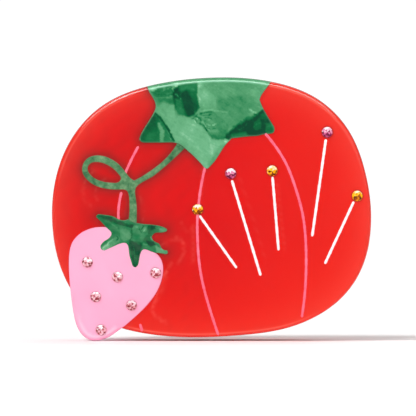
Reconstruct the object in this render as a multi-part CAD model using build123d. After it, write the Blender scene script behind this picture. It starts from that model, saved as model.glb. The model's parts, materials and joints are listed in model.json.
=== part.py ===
from build123d import *
import math
import os

# Hair claw shaped like a tomato pin cushion with a strawberry emery.
# Two matching acetate jaws, front and rear, turn about one steel pin and are held shut by a
# torsion spring.
#
# Row frame: +X to the right as the front jaw is looked at, +Z up, the front jaw faces -Y.
# Origin: under the middle of the claw, at the level of its lowest point (the strawberry tips).
#
# Jaw frame, in which each jaw is drawn before it is placed: x along the row's +X, y up the
# plate, z out of the display face (z = 0 on the display face).

# ---------------------------------------------------------------- plate and inlays (mm, degrees)
PLATE_T = 3.8            # acetate sheet thickness
INNER = -PLATE_T         # height of the plate's inner face in the jaw frame
EDGE_R = 1.0             # polished rounding of the plate's edges
BERRY_EDGE_R = 0.45      # rounding of the strawberry's edges
JAW_TILT = 7.0           # each jaw leans outward at the top when the claw is shut
GLUE = 0.04              # glue line around each inlay
PROUD = 0.12             # full-thickness inlays stand this proud after polishing
SHALLOW_PROUD = 0.08     # pocketed inlays stand this proud
POCKET_D = 1.2           # depth of the pockets for the vine and the strawberry leaf
LINE_W = 0.80            # width of the painted seam lines
PIN_LINE_W = 0.80        # width of the painted pin shafts
LINE_D = 0.35            # depth of the engraved, paint-filled lines
CLEAR = 2.0              # top of every pocket, groove and socket cutter
THROUGH = 5.0            # reach of through cutters on both sides of the display face
FLAT_TOL = 1e-4          # tolerance for picking edges by place

# ---------------------------------------------------------------- crystals
STONE_R = 1.50           # crystal radius at the girdle
STONE_TABLE_R = 0.84     # radius of the crystal's flat top
STONE_CROWN = 0.48       # crown height
STONE_CROWN_MID = 0.62   # height of the crown's middle corners, as a share of the crown
STONE_CROWN_BULGE = 0.05 # middle corners lie this far outside the mean radius
STONE_GIRDLE = 0.12      # girdle thickness
STONE_PAVILION = 1.05    # depth of the pointed back
STONE_LIFT = 0.02        # girdle above the surface around it
SOCKET_R = 1.56
SOCKET_D = 1.25

# ---------------------------------------------------------------- comb
COMB_T = 3.0             # comb thickness at the spine
COMB_TIP_T = 1.7         # comb thickness at the tooth tips
COMB_TOP_Y = 0.5         # top of the glued spine
COMB_TOP_R = 1.2         # rounding of the spine's top edge, on the side away from the plate
COMB_BEND_Y = -11.0      # where the comb leaves the plate
COMB_BEND_R = 22.5       # outer radius of the bend
COMB_BEND = math.radians(62.0)  # angle the teeth turn through
COMB_BEND_STEPS = 8      # spans in each curved side of the section
COMB_CUT_DEPTH = 30.0    # the slots are cut this far behind the display face
COMB_END = 3.0           # spine past the middle of the last tooth
TOOTH_PITCH = 8.0
TOOTH_ROOT_W = 4.8
TOOTH_TIP_W = 2.4
TOOTH_ROOT_Y = COMB_BEND_Y - 2.2
TOOTH_TIP_Y = COMB_BEND_Y - COMB_BEND_R * math.sin(COMB_BEND)
TOOTH_POINT_Y = TOOTH_TIP_Y + 1.2   # where each tooth starts its steeper point
SLOT_END_Y = TOOTH_TIP_Y - 0.6      # slots run out below the tips
POINT_TAPER = 0.75       # narrowing of each side of a tooth over its point
END_TRIM = 1.0           # overrun past the spine's end, and half height of its sloped shoulder
FRONT_TEETH = (-28.0, -20.0, -12.0, -4.0, 4.0, 12.0, 20.0, 28.0)
REAR_TEETH = (-24.0, -16.0, -8.0, 0.0, 8.0, 16.0, 24.0)

# ---------------------------------------------------------------- hinge
HINGE_Y = 9.95           # hinge axis height in the jaw frame
HINGE_GAP = 13.0         # hinge axis to the plate's inner face
HINGE_Z = INNER - HINGE_GAP
PIN_R = 1.20             # hinge pin radius
PIN_IN_CAP = 0.9         # the shank enters the cap by this much
HEAD_R = 2.2             # domed head and cap radius
HEAD_T = 1.5             # domed head and cap height
HEAD_ROUND = 0.8         # rounding of the dome, as a share of its height
HEAD_X = 19.45           # inner face of head and cap
REAR_BORE_R = 1.25       # rear lugs run on the pin
LUG_NOSE_R = 3.5
LUG_NOSE_RISE = 12       # degrees the nose arc goes on past its half circle at each end
LUG_W = 4.0
LUG_FOOT_W = 9.0
LUG_FOOT_T = 1.6
LUG_FOOT_HALF = 8.0      # half height of the glued foot
LUG_FOOT_R = 1.5         # foot corner radius
LUG_FOOT_MARGIN = 1.0    # the foot reaches this far past the web, above and below
FRONT_LUG_X = 13.0       # middle of each front lug
REAR_LUG_X = 17.3        # middle of each rear lug

# ---------------------------------------------------------------- spring
WIRE_R = 0.55            # spring wire radius
COIL_R = 2.30            # coil radius to the middle of the wire
COIL_TURNS = 6           # whole turns; a part turn more brings the wire to the rear leg
COIL_PITCH = 1.35        # coil length per whole turn
LEG_REACH = 15.0         # where the spring leg meets the handle, above the hinge
LEG_FLAT = 4.5           # bent end that lies along the handle
LEG_BEND_R = 1.8
SPRING_GAP = 0.05        # spring end to handle when shut
JOINT_SCALE = 1.04       # ball at each leg's foot, relative to the wire

# ---------------------------------------------------------------- outlines in the jaw frame
# Every entry is (x, y). Outlines and holes are smooth closed curves.
PLATE_OUTLINE = [
    (-44.98, -1.60), (-44.58, 4.48), (-43.37, 10.44), (-41.26, 16.14), (-38.21, 21.40),
    (-34.27, 26.03), (-29.48, 29.76), (-24.04, 32.48), (-18.25, 34.36), (-12.30, 35.63),
    (-6.27, 36.45), (-0.20, 36.86), (5.89, 36.91), (11.96, 36.50), (17.96, 35.52),
    (23.81, 33.85), (29.31, 31.26), (34.14, 27.57), (38.09, 22.95), (41.00, 17.62),
    (43.00, 11.87), (44.35, 5.94), (45.06, -0.10), (45.03, -6.19), (44.14, -12.20),
    (42.17, -17.95), (38.99, -23.13), (34.77, -27.42), (29.77, -30.76), (24.24, -33.24),
    (18.38, -34.86), (12.36, -35.79), (6.30, -36.34), (0.22, -36.69), (-5.86, -36.78),
    (-11.94, -36.52), (-17.99, -35.82), (-23.95, -34.59), (-29.66, -32.54), (-34.66, -29.19),
    (-38.62, -24.72), (-41.57, -19.40), (-43.55, -13.65), (-44.65, -7.67),
]
STRAWBERRY_OUTLINE = [
    (-40.04, -20.34), (-40.19, -17.58), (-40.21, -14.82), (-39.99, -12.07), (-39.14, -9.46),
    (-37.36, -7.37), (-34.99, -5.98), (-32.32, -5.29), (-29.56, -5.27), (-26.88, -5.90),
    (-24.38, -7.06), (-22.07, -8.57), (-19.83, -10.19), (-17.47, -11.62), (-15.13, -13.08),
    (-13.78, -15.43), (-13.64, -18.18), (-14.19, -20.88), (-15.26, -23.42), (-16.73, -25.74),
    (-18.46, -27.83), (-20.36, -29.76), (-22.37, -31.60), (-24.45, -33.38), (-26.62, -35.09),
    (-28.91, -36.63), (-31.49, -37.59), (-34.23, -37.54), (-36.50, -36.05), (-37.94, -33.70),
    (-38.73, -31.10), (-39.18, -28.48), (-39.53, -25.82), (-39.81, -23.09),
]
VINE_LOOP_HOLE = [
    (-34.73, 11.65), (-34.39, 10.25), (-33.41, 9.15), (-32.17, 8.36), (-30.79, 7.85),
    (-29.35, 7.55), (-27.88, 7.44), (-26.41, 7.53), (-25.54, 8.49), (-26.21, 9.79),
    (-27.20, 10.89), (-28.35, 11.80), (-29.64, 12.52), (-31.03, 13.01), (-32.49, 13.17),
    (-33.91, 12.81),
]
# Each of the next three is a closed chain of sides; a side starts where the one before ends.
CAP_LEAF_SIDES = [
    [(-17.90, 34.16), (-17.28, 32.77), (-16.48, 31.47), (-15.82, 30.10), (-15.69, 28.60),
     (-16.24, 27.17), (-16.97, 25.84), (-17.77, 24.54), (-18.60, 23.25), (-19.38, 21.94),
     (-20.05, 20.57)],
    [(-20.05, 20.57), (-20.11, 19.36), (-19.03, 18.73)],
    [(-19.03, 18.73), (-17.39, 18.73), (-15.75, 18.72), (-14.11, 18.73), (-12.47, 18.78),
     (-10.83, 18.78), (-9.25, 18.38), (-7.88, 17.47), (-6.63, 16.41), (-5.40, 15.32),
     (-4.22, 14.18), (-3.10, 12.98), (-2.05, 11.72)],
    [(-2.05, 11.72), (-1.53, 11.39), (-0.92, 11.43)],
    [(-0.92, 11.43), (0.23, 12.59), (1.24, 13.87), (2.14, 15.23), (3.00, 16.62), (3.92, 17.97),
     (5.02, 19.17), (6.41, 20.01), (7.99, 20.38), (9.62, 20.49), (11.25, 20.53), (12.88, 20.64),
     (14.46, 21.02), (16.06, 21.23)],
    [(16.06, 21.23), (17.64, 21.74), (17.67, 23.26)],
    [(17.67, 23.26), (16.89, 24.57), (16.10, 25.87), (15.32, 27.19), (14.58, 28.52),
     (13.95, 29.91), (13.72, 31.40), (14.37, 32.76), (15.36, 33.92), (16.26, 35.15)],
    [(16.26, 35.15), (19.20, 39.20)],
    [(19.20, 39.20), (-20.20, 39.20)],
    [(-20.20, 39.20), (-17.90, 34.16)],
]
STRAWBERRY_LEAF_SIDES = [
    [(-32.53, -2.32), (-32.07, -1.66), (-31.20, -1.58)],
    [(-31.20, -1.58), (-29.58, -1.80), (-27.98, -2.09), (-26.51, -2.78), (-25.00, -3.29),
     (-23.50, -3.00)],
    [(-23.50, -3.00), (-22.20, -3.68), (-20.84, -4.08)],
    [(-20.84, -4.08), (-19.20, -4.32), (-17.55, -4.47), (-15.90, -4.64), (-14.28, -4.97),
     (-12.75, -5.60)],
    [(-12.75, -5.60), (-12.46, -6.01), (-12.72, -6.45)],
    [(-12.72, -6.45), (-14.20, -6.79), (-15.74, -6.91), (-16.71, -8.00), (-16.02, -9.27),
     (-14.67, -10.02), (-13.94, -11.32), (-12.52, -11.83)],
    [(-12.52, -11.83), (-12.29, -12.62), (-13.09, -12.96)],
    [(-13.09, -12.96), (-14.64, -12.64), (-16.21, -12.45), (-17.69, -11.90), (-19.18, -11.66),
     (-19.99, -12.98), (-20.25, -14.54), (-20.62, -16.07)],
    [(-20.62, -16.07), (-21.50, -16.73), (-22.40, -16.07)],
    [(-22.40, -16.07), (-22.84, -14.51), (-23.24, -12.93), (-23.40, -11.31), (-24.05, -9.87),
     (-25.61, -9.95), (-27.12, -10.56), (-28.60, -11.25), (-30.07, -11.94)],
    [(-30.07, -11.94), (-31.12, -11.54), (-31.29, -10.41)],
    [(-31.29, -10.41), (-30.32, -9.19), (-28.99, -8.32), (-28.23, -6.98), (-29.20, -5.75),
     (-30.29, -4.58), (-31.39, -3.43), (-32.53, -2.32)],
]
VINE_SIDES = [
    [(-9.81, 18.39), (-10.64, 17.03), (-11.60, 15.75), (-12.66, 14.56), (-13.81, 13.44),
     (-15.03, 12.40), (-16.30, 11.43), (-17.61, 10.50), (-18.94, 9.62), (-20.31, 8.80),
     (-21.75, 8.09)],
    [(-21.75, 8.09), (-23.02, 9.05), (-24.01, 10.31), (-24.98, 11.59), (-26.08, 12.75),
     (-27.36, 13.70), (-28.78, 14.45), (-30.29, 14.98), (-31.87, 15.20), (-33.46, 15.02),
     (-34.91, 14.36), (-35.96, 13.18), (-36.46, 11.66), (-36.31, 10.08), (-35.53, 8.69),
     (-34.40, 7.56), (-33.07, 6.68), (-31.59, 6.05), (-30.05, 5.65), (-28.46, 5.43),
     (-26.86, 5.35), (-25.26, 5.38)],
    [(-25.26, 5.38), (-23.78, 4.91), (-23.27, 3.36), (-23.18, 1.71), (-23.15, 0.06),
     (-23.23, -1.59), (-23.45, -3.23)],
    [(-23.45, -3.23), (-23.30, -5.20)],
    [(-23.30, -5.20), (-20.90, -5.40)],
    [(-20.90, -5.40), (-20.96, -4.02)],
    [(-20.96, -4.02), (-20.92, -2.37), (-20.90, -0.73), (-20.95, 0.91), (-21.10, 2.55),
     (-21.34, 4.18), (-21.20, 5.80), (-20.09, 6.98), (-18.69, 7.84), (-17.25, 8.62),
     (-15.86, 9.50), (-14.57, 10.53), (-13.32, 11.60), (-12.09, 12.68), (-10.87, 13.79),
     (-9.67, 14.91), (-8.48, 16.05), (-7.32, 17.21)],
    [(-7.32, 17.21), (-6.20, 18.40)],
    [(-6.20, 18.40), (-8.90, 19.90)],
    [(-8.90, 19.90), (-9.81, 18.39)],
]
# Middle lines of the painted seams, and the two ends of each painted pin shaft.
SEAM_PATHS = [
    [(15.15, 21.34), (18.04, 17.74), (21.13, 12.68), (23.64, 6.20), (25.80, -1.75),
     (26.70, -10.41), (26.67, -20.32), (26.16, -26.83), (25.57, -30.96)],
    [(-1.60, 12.30), (-2.90, 6.20), (-3.50, 1.87), (-3.89, -2.46), (-3.89, -8.24),
     (-3.44, -15.11), (-2.48, -20.89), (-0.72, -27.54), (1.80, -35.25)],
    [(-20.50, 17.74), (-21.89, 15.14), (-24.60, 9.20)],
    [(-25.10, 6.40), (-25.80, 2.43), (-26.16, -0.28), (-26.00, -4.70)],
    [(-20.16, -32.77), (-19.86, -33.70)],
]
PIN_ENDS = [
    ((-3.33, -1.92), (7.00, -16.64)),
    ((5.79, 8.12), (13.88, -18.76)),
    ((17.25, 9.11), (18.98, -11.55)),
    ((32.28, 19.73), (28.51, -7.58)),
    ((40.20, 2.04), (32.19, -15.42)),
]
AMBER_CENTRES = [(-3.83, -0.20), (17.16, 10.78), (41.16, 3.65)]
ROSE_CENTRES = [(5.48, 9.99), (32.64, 21.71)]
SEED_CENTRES = [
    (-34.96, -15.20), (-26.50, -19.39), (-15.69, -18.25),
    (-32.64, -25.05), (-22.54, -27.48), (-31.14, -34.50),
]


# ---------------------------------------------------------------- curves and faces
def curve_through(points):
    """Straight line through two points, smooth curve through more."""
    return Spline(*points) if len(points) > 2 else Line(*points)


def lines(*points):
    """Straight edges from point to point."""
    return [Line(start, end) for start, end in zip(points, points[1:])]


def closed_face(points):
    """Face inside one smooth closed curve."""
    return make_face(Spline(*points, periodic=True))


def sided_face(sides):
    """Face inside a chain of smooth sides that meet at corners."""
    return make_face([curve_through(side) for side in sides])


def winding(points):
    """+1 for a counter-clockwise outline, -1 for clockwise."""
    area = sum(p[0] * q[1] - q[0] * p[1] for p, q in zip(points, points[1:] + points[:1]))
    return 1.0 if area > 0 else -1.0


def moved_out(point, before, after, sense, amount):
    """Point moved out of its outline, square to the line between its neighbours."""
    dx, dy = after[0] - before[0], after[1] - before[1]
    length = math.hypot(dx, dy)
    return (point[0] + sense * dy / length * amount, point[1] - sense * dx / length * amount)


def grown_loop(points, amount):
    """Smooth closed outline, moved outward by a small amount."""
    sense, count = winding(points), len(points)
    return [moved_out(point, points[i - 1], points[(i + 1) % count], sense, amount)
            for i, point in enumerate(points)]


def grown_sides(sides, amount):
    """Chain of smooth sides, moved outward by a small amount and joined at its corners again."""
    sense = winding([point for side in sides for point in side[:-1]])
    normals = []
    for side in sides:
        curve = curve_through(side)
        tangents = curve.tangent_at(0), curve.tangent_at(1)
        normals.append([(sense * tangent.Y, -sense * tangent.X) for tangent in tangents])
    corners = []
    for i, side in enumerate(sides):
        before, after = normals[i - 1][1], normals[i][0]
        # the floor on the cosine keeps sharp corners from shooting outward
        cosine = max(-0.5, before[0] * after[0] + before[1] * after[1])
        corners.append((side[0][0] + amount * (before[0] + after[0]) / (1 + cosine),
                        side[0][1] + amount * (before[1] + after[1]) / (1 + cosine)))
    grown = []
    for i, side in enumerate(sides):
        middle = [moved_out(side[j], side[j - 1], side[j + 1], sense, amount)
                  for j in range(1, len(side) - 1)]
        grown.append([corners[i], *middle, corners[(i + 1) % len(sides)]])
    return grown


def ribbon(points, width):
    """Strip of constant width with round ends, along a smooth line."""
    path = curve_through(points)
    half = width / 2
    spans = 1 if len(points) == 2 else 4 * len(points)
    left, right = [], []
    for i in range(spans + 1):
        here, tangent = path.position_at(i / spans), path.tangent_at(i / spans)
        left.append((here.X - tangent.Y * half, here.Y + tangent.X * half))
        right.append((here.X + tangent.Y * half, here.Y - tangent.X * half))
    start = path.position_at(0) - path.tangent_at(0) * half
    end = path.position_at(1) + path.tangent_at(1) * half
    return make_face([
        curve_through(left),
        ThreePointArc(left[-1], (end.X, end.Y), right[-1]),
        curve_through(right[::-1]),
        ThreePointArc(right[0], (start.X, start.Y), left[0]),
    ])


# ---------------------------------------------------------------- solids
def prism(face, low, high):
    """Solid over a face, from z = low to z = high."""
    return extrude(Pos(0, 0, low) * face, amount=high - low, dir=(0, 0, 1))


def through_cut(face):
    return prism(face, -THROUGH, THROUGH)


def soften(solid, z, radius):
    """Round the edges that lie at one height."""
    edges = [e for e in solid.edges() if abs(e.center().Z - z) < FLAT_TOL
             and abs(e.bounding_box().size.Z) < FLAT_TOL]
    return fillet(edges, radius)


def slab(face, top, radius):
    """Full-thickness piece, from the inner face to z = top, with rounded edges."""
    return soften(soften(prism(face, INNER, top), top, radius), INNER, radius)


def side_plane(x, y, z):
    """Plane square to x, in which outlines are drawn as (y, z)."""
    return Plane(origin=(x, y, z), x_dir=(0, 1, 0), z_dir=(1, 0, 0))


def rod(start, radius, length, sign=1):
    """Cylinder that runs from start towards +x or -x."""
    return extrude(side_plane(*start) * Circle(radius), amount=length, dir=(sign, 0, 0))


# ---------------------------------------------------------------- flat shapes and cutters
plate_face = closed_face(PLATE_OUTLINE)
vine_face = sided_face(VINE_SIDES) - closed_face(VINE_LOOP_HOLE)

# outlines grown by the glue line
cap_leaf_cut = sided_face(grown_sides(CAP_LEAF_SIDES, GLUE))
berry_leaf_cut = sided_face(grown_sides(STRAWBERRY_LEAF_SIDES, GLUE))
berry_cut = closed_face(grown_loop(STRAWBERRY_OUTLINE, GLUE))
vine_cut = (sided_face(grown_sides(VINE_SIDES, GLUE))
            - closed_face(grown_loop(VINE_LOOP_HOLE, -GLUE)))


def sockets(centres, surface=0.0):
    return [Pos(x, y, 0) * prism(Circle(SOCKET_R), surface - SOCKET_D, CLEAR)
            for x, y in centres]


def grooves(paths, width):
    return [prism(ribbon(path, width + 2 * GLUE), -LINE_D, CLEAR) for path in paths]


berry_leaf_pocket = prism(berry_leaf_cut, -POCKET_D, CLEAR)
pin_grooves = grooves(PIN_ENDS, PIN_LINE_W)
head_sockets = sockets(AMBER_CENTRES + ROSE_CENTRES)


# ---------------------------------------------------------------- plate and inlays
def make_plate():
    """Tomato plate with openings, pockets, crystal sockets and grooves for the painted lines."""
    plate = slab(plate_face, 0, EDGE_R)
    plate = plate - through_cut(cap_leaf_cut) - through_cut(berry_cut)
    plate = plate - berry_leaf_pocket - prism(vine_cut, -POCKET_D, CLEAR)
    for tool in head_sockets + grooves(SEAM_PATHS, LINE_W) + pin_grooves:
        plate = plate - tool
    return plate


def make_cap_leaf():
    """Full-thickness leaf, trimmed to a plate that stands proud."""
    leaf = prism(sided_face(CAP_LEAF_SIDES), INNER, PROUD)
    return leaf & slab(plate_face, PROUD, EDGE_R)


def make_strawberry():
    berry = slab(closed_face(STRAWBERRY_OUTLINE), PROUD, BERRY_EDGE_R)
    berry = berry - berry_leaf_pocket
    for socket in sockets(SEED_CENTRES, PROUD):
        berry = berry - socket
    return berry


def make_strawberry_leaf():
    return prism(sided_face(STRAWBERRY_LEAF_SIDES), -POCKET_D, PROUD + SHALLOW_PROUD)


def make_vine():
    """Vine that stops at the cap leaf and the strawberry leaf."""
    vine = prism(vine_face, -POCKET_D, SHALLOW_PROUD)
    return vine - through_cut(cap_leaf_cut) - through_cut(berry_leaf_cut)


def make_seams():
    """Painted seam lines, flush with the plate and interrupted by everything they meet."""
    strips = []
    for path in SEAM_PATHS:
        strip = prism(ribbon(path, LINE_W), -LINE_D, 0.0)
        for tool in pin_grooves + head_sockets:
            strip = strip - tool
        for face in (cap_leaf_cut, vine_cut, berry_cut, berry_leaf_cut):
            strip = strip - through_cut(face)
        strips.append(strip)
    return strips


def make_pin_lines():
    """Painted pin shafts, flush with the plate."""
    return [prism(ribbon(ends, PIN_LINE_W), -LINE_D, 0.0) for ends in PIN_ENDS]


# ---------------------------------------------------------------- crystals
def ring(radius, z, count, phase=0.0):
    angles = [2 * math.pi * (i + phase) / count for i in range(count)]
    return [(radius * math.cos(angle), radius * math.sin(angle), z) for angle in angles]


def make_crystal():
    """Round brilliant stone: flat octagon top, sloped crown, thin girdle, pointed back."""
    girdle_top = STONE_LIFT + STONE_GIRDLE
    middle_r = (STONE_TABLE_R + STONE_R) / 2 + STONE_CROWN_BULGE
    return ConvexPolyhedron(
        ring(STONE_TABLE_R, girdle_top + STONE_CROWN, 8)
        + ring(middle_r, girdle_top + STONE_CROWN * STONE_CROWN_MID, 8, phase=0.5)
        + ring(STONE_R, girdle_top, 16)
        + ring(STONE_R, STONE_LIFT, 16)
        + [(0, 0, STONE_LIFT - STONE_PAVILION)])


def crystals(centres, surface=0.0):
    stone = make_crystal()
    return [Pos(x, y, surface) * stone for x, y in centres]


# ---------------------------------------------------------------- comb
def comb_section():
    """Comb seen from the side, in (y, z): flat spine, then a bend that thins to the tips."""
    centre_z = INNER - COMB_BEND_R
    outer, inner = [], []
    for i in range(COMB_BEND_STEPS + 1):
        angle = COMB_BEND * i / COMB_BEND_STEPS
        thickness = COMB_T + (COMB_TIP_T - COMB_T) * i / COMB_BEND_STEPS
        for points, radius in ((outer, COMB_BEND_R), (inner, COMB_BEND_R - thickness)):
            points.append((COMB_BEND_Y - radius * math.sin(angle),
                           centre_z + radius * math.cos(angle)))
    return make_face([
        Line((COMB_TOP_Y, INNER), (COMB_BEND_Y, INNER)),
        Spline(*outer),
        Line(outer[-1], inner[-1]),
        Spline(*reversed(inner)),
        *lines((COMB_BEND_Y, INNER - COMB_T), (COMB_TOP_Y, INNER - COMB_T),
               (COMB_TOP_Y, INNER)),
    ])


def slot_between(middle):
    """Round-topped slot between two teeth, widening towards the tips."""
    root_half = (TOOTH_PITCH - TOOTH_ROOT_W) / 2
    tip_half = (TOOTH_PITCH - TOOTH_TIP_W) / 2
    end_half = tip_half + POINT_TAPER
    left, right = (middle - root_half, TOOTH_ROOT_Y), (middle + root_half, TOOTH_ROOT_Y)
    return make_face([
        ThreePointArc(left, (middle, TOOTH_ROOT_Y + root_half), right),
        *lines(right, (middle + tip_half, TOOTH_POINT_Y), (middle + end_half, SLOT_END_Y),
               (middle - end_half, SLOT_END_Y), (middle - tip_half, TOOTH_POINT_Y), left),
    ])


def end_trim(tooth, sign):
    """Waste beyond the last tooth on one side."""
    end = tooth + sign * COMB_END
    root, tip = tooth + sign * TOOTH_ROOT_W / 2, tooth + sign * TOOTH_TIP_W / 2
    past, top = end + sign * END_TRIM, TOOTH_ROOT_Y + END_TRIM
    return make_face(Polyline(
        (past, top), (end, top), (root, TOOTH_ROOT_Y - END_TRIM), (tip, TOOTH_POINT_Y),
        (tip - sign * POINT_TAPER, SLOT_END_Y), (past, SLOT_END_Y), (past, top)))


def make_comb(teeth):
    """Spine glued behind the plate, teeth that curve inward and thin towards their tips.

    The teeth, listed from -x to +x, are left standing between tapered slots.
    """
    half = teeth[-1] + COMB_END
    body = extrude(side_plane(-half, 0, 0) * comb_section(), amount=2 * half, dir=(1, 0, 0))
    cuts = [slot_between((left + right) / 2) for left, right in zip(teeth, teeth[1:])]
    cuts += [end_trim(teeth[0], -1), end_trim(teeth[-1], 1)]
    for cut in cuts:
        body = body - prism(cut, -COMB_CUT_DEPTH, 0)
    top_edges = [e for e in body.edges() if abs(e.center().Y - COMB_TOP_Y) < FLAT_TOL
                 and abs(e.center().Z - (INNER - COMB_T)) < FLAT_TOL]
    return fillet(top_edges, COMB_TOP_R)


# ---------------------------------------------------------------- hinge
def make_lug(x, bore_r):
    """Glued lug that carries the pin: a flat foot and a web that narrows to a round nose."""
    nose = [(HINGE_Y + LUG_NOSE_R * math.cos(angle), HINGE_Z + LUG_NOSE_R * math.sin(angle))
            for angle in map(math.radians, (LUG_NOSE_RISE, -90, 180 + LUG_NOSE_RISE))]
    web_half = LUG_FOOT_HALF - LUG_FOOT_MARGIN
    top, bottom = HINGE_Y + web_half, HINGE_Y - web_half
    foot_back = INNER - LUG_FOOT_T
    web = make_face([
        *lines((bottom, INNER), (top, INNER), (top, foot_back), nose[0]),
        ThreePointArc(*nose),
        *lines(nose[2], (bottom, foot_back), (bottom, INNER)),
    ])
    lug = extrude(side_plane(x - LUG_W / 2, 0, 0) * web, amount=LUG_W, dir=(1, 0, 0))
    foot_z = INNER - LUG_FOOT_T / 2
    foot = Pos(x, HINGE_Y, foot_z) * Box(LUG_FOOT_W, 2 * LUG_FOOT_HALF, LUG_FOOT_T)
    corners = [e for e in foot.edges() if abs(e.center().Z - foot_z) < FLAT_TOL]
    lug = lug + fillet(corners, LUG_FOOT_R)
    return lug - rod((x - LUG_W, HINGE_Y, HINGE_Z), bore_r, 2 * LUG_W)


def make_lugs(middle, bore_r):
    return [make_lug(x, bore_r) for x in (-middle, middle)]


def button(sign, hinge_z):
    """Domed button at one end of the pin, bulging away from the claw's middle."""
    solid = rod((sign * HEAD_X, 0, hinge_z), HEAD_R, HEAD_T, sign)
    rim = [e for e in solid.edges()
           if abs(e.center().X - sign * (HEAD_X + HEAD_T)) < FLAT_TOL
           and e.bounding_box().size.X < FLAT_TOL]
    return fillet(rim, HEAD_T * HEAD_ROUND)


def make_pin(hinge_z):
    """Shank with its domed head at the -X end."""
    shank = rod((-HEAD_X, 0, hinge_z), PIN_R, 2 * HEAD_X + PIN_IN_CAP)
    return shank + button(-1, hinge_z)


def make_pin_cap(hinge_z):
    """Domed cap with a blind hole for the +X end of the shank."""
    run_in = 1.0
    hole = rod((HEAD_X - run_in, 0, hinge_z), PIN_R, PIN_IN_CAP + run_in)
    return button(1, hinge_z) - hole


# ---------------------------------------------------------------- torsion spring
def make_spring(hinge_z, tilt):
    """Coil around the pin with one leg up to each handle."""
    half = COIL_TURNS * COIL_PITCH / 2
    # the leg is laid out in the row's y-z plane, from the hinge axis
    up_handle = Vector(0, -math.sin(tilt), math.cos(tilt))
    to_handle = Vector(0, -math.cos(tilt), -math.sin(tilt))
    knee = up_handle * LEG_REACH + to_handle * (HINGE_GAP - WIRE_R - SPRING_GAP)
    end = knee + up_handle * LEG_FLAT
    # tangent from the knee to the coil's front side; angle from +y towards +z
    touch = math.atan2(knee.Z, knee.Y) + math.acos(COIL_R / knee.length)
    touch_point = Vector(0, math.cos(touch), math.sin(touch)) * COIL_R
    # bend between the leg and its flat end
    down_leg = (touch_point - knee).normalized()
    half_angle = math.acos(down_leg.dot(up_handle)) / 2
    setback = LEG_BEND_R / math.tan(half_angle)
    bend_low = knee + down_leg * setback
    bend_high = knee + up_handle * setback
    bisector = (down_leg + up_handle).normalized()
    bend_middle = knee + bisector * (LEG_BEND_R / math.sin(half_angle) - LEG_BEND_R)

    end, bend_high, bend_middle, bend_low, touch_point = [
        Vector(-half, point.Y, point.Z + hinge_z)
        for point in (end, bend_high, bend_middle, bend_low, touch_point)]

    def tube(path, **options):
        start = Plane(origin=path.position_at(0), z_dir=path.tangent_at(0))
        return sweep(start * Circle(WIRE_R), path=path, **options)

    # the slightly larger ball joins the leg to the coil
    front_leg = (tube(Line(end, bend_high))
                 + tube(ThreePointArc(bend_high, bend_middle, bend_low))
                 + tube(Line(bend_low, touch_point))
                 + Pos(*touch_point) * Sphere(WIRE_R * JOINT_SCALE))
    # the front leg turned half a turn about the upright through the middle of the coil
    rear_leg = Rot(0, 0, 180) * front_leg

    # from the front touch point, down and round, to the matching rear touch point
    full = 2 * math.pi
    turns = COIL_TURNS + (math.pi - 2 * touch) % full / full
    wire = tube(Helix(2 * half / turns, 2 * half, COIL_R), is_frenet=True)
    coil = Plane(origin=(-half, 0, hinge_z), x_dir=(0, math.cos(touch), math.sin(touch)),
                 z_dir=(1, 0, 0)) * wire
    return coil.fuse(rear_leg).fuse(front_leg)


# ---------------------------------------------------------------- placing and writing
def seat(z, tilt):
    """Jaw frame of the front jaw in the row frame, with the hinge axis at y = 0."""
    y = HINGE_Y * math.sin(tilt) + HINGE_Z * math.cos(tilt)
    return Plane(origin=(0, y, z), x_dir=(1, 0, 0),
                 z_dir=(0, -math.cos(tilt), -math.sin(tilt)))


def group(items, name):
    """One labelled shape, a compound where there are several separate solids."""
    solids = [solid for item in items for solid in item.solids()]
    shape = solids[0] if len(solids) == 1 else Compound(children=solids)
    shape.label = name
    return shape


strawberry = make_strawberry()
shared = {
    "plate": [make_plate()],
    "cap_leaf": [make_cap_leaf()],
    "vine": [make_vine()],
    "strawberry": [strawberry],
    "strawberry_leaf": [make_strawberry_leaf()],
    "seam_inlays": make_seams(),
    "pin_inlays": make_pin_lines(),
    "amber_crystals": crystals(AMBER_CENTRES),
    "rose_crystals": crystals(ROSE_CENTRES),
    "seed_crystals": crystals(SEED_CENTRES, PROUD),
}
front = {**shared, "comb": [make_comb(FRONT_TEETH)],
         "hinge_lugs": make_lugs(FRONT_LUG_X, PIN_R)}
rear = {**shared, "comb": [make_comb(REAR_TEETH)],
        "hinge_lugs": make_lugs(REAR_LUG_X, REAR_BORE_R)}

# the strawberry's lowest point rests at z = 0
tilt = math.radians(JAW_TILT)
base_z = -(seat(0, tilt) * strawberry).bounding_box().min.Z
hinge_z = base_z + HINGE_Y * math.cos(tilt) - HINGE_Z * math.sin(tilt)
front_seat = seat(base_z, tilt)

nodes = {
    "hinge_pin": [make_pin(hinge_z)],
    "hinge_pin_cap": [make_pin_cap(hinge_z)],
    "torsion_spring": [make_spring(hinge_z, tilt)],
}
for name, items in front.items():
    nodes["front_" + name] = [front_seat * item for item in items]
for name, items in rear.items():
    nodes["rear_" + name] = [mirror(front_seat * item, about=Plane.XZ) for item in items]

os.makedirs("parts", exist_ok=True)
for name, items in nodes.items():
    export_step(group(items, name), "parts/" + name + ".step")
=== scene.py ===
"""A hair claw of inlaid acetate: two jaws that swing on a sprung hinge pin.

Each jaw is a tilted plate with a comb and two hinge lugs behind it. The hinge axis runs along world X,
the front jaw faces -Y and the rear jaw +Y. Pieces are drawn for the front jaw in its plate frame, in
mm: x across, y up the plate, z out of its face. The rear jaw is mirrored in Y.
"""
import json
import math
import random

import bpy
import numpy as np
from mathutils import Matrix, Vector
from mathutils.geometry import delaunay_2d_cdt


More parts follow.
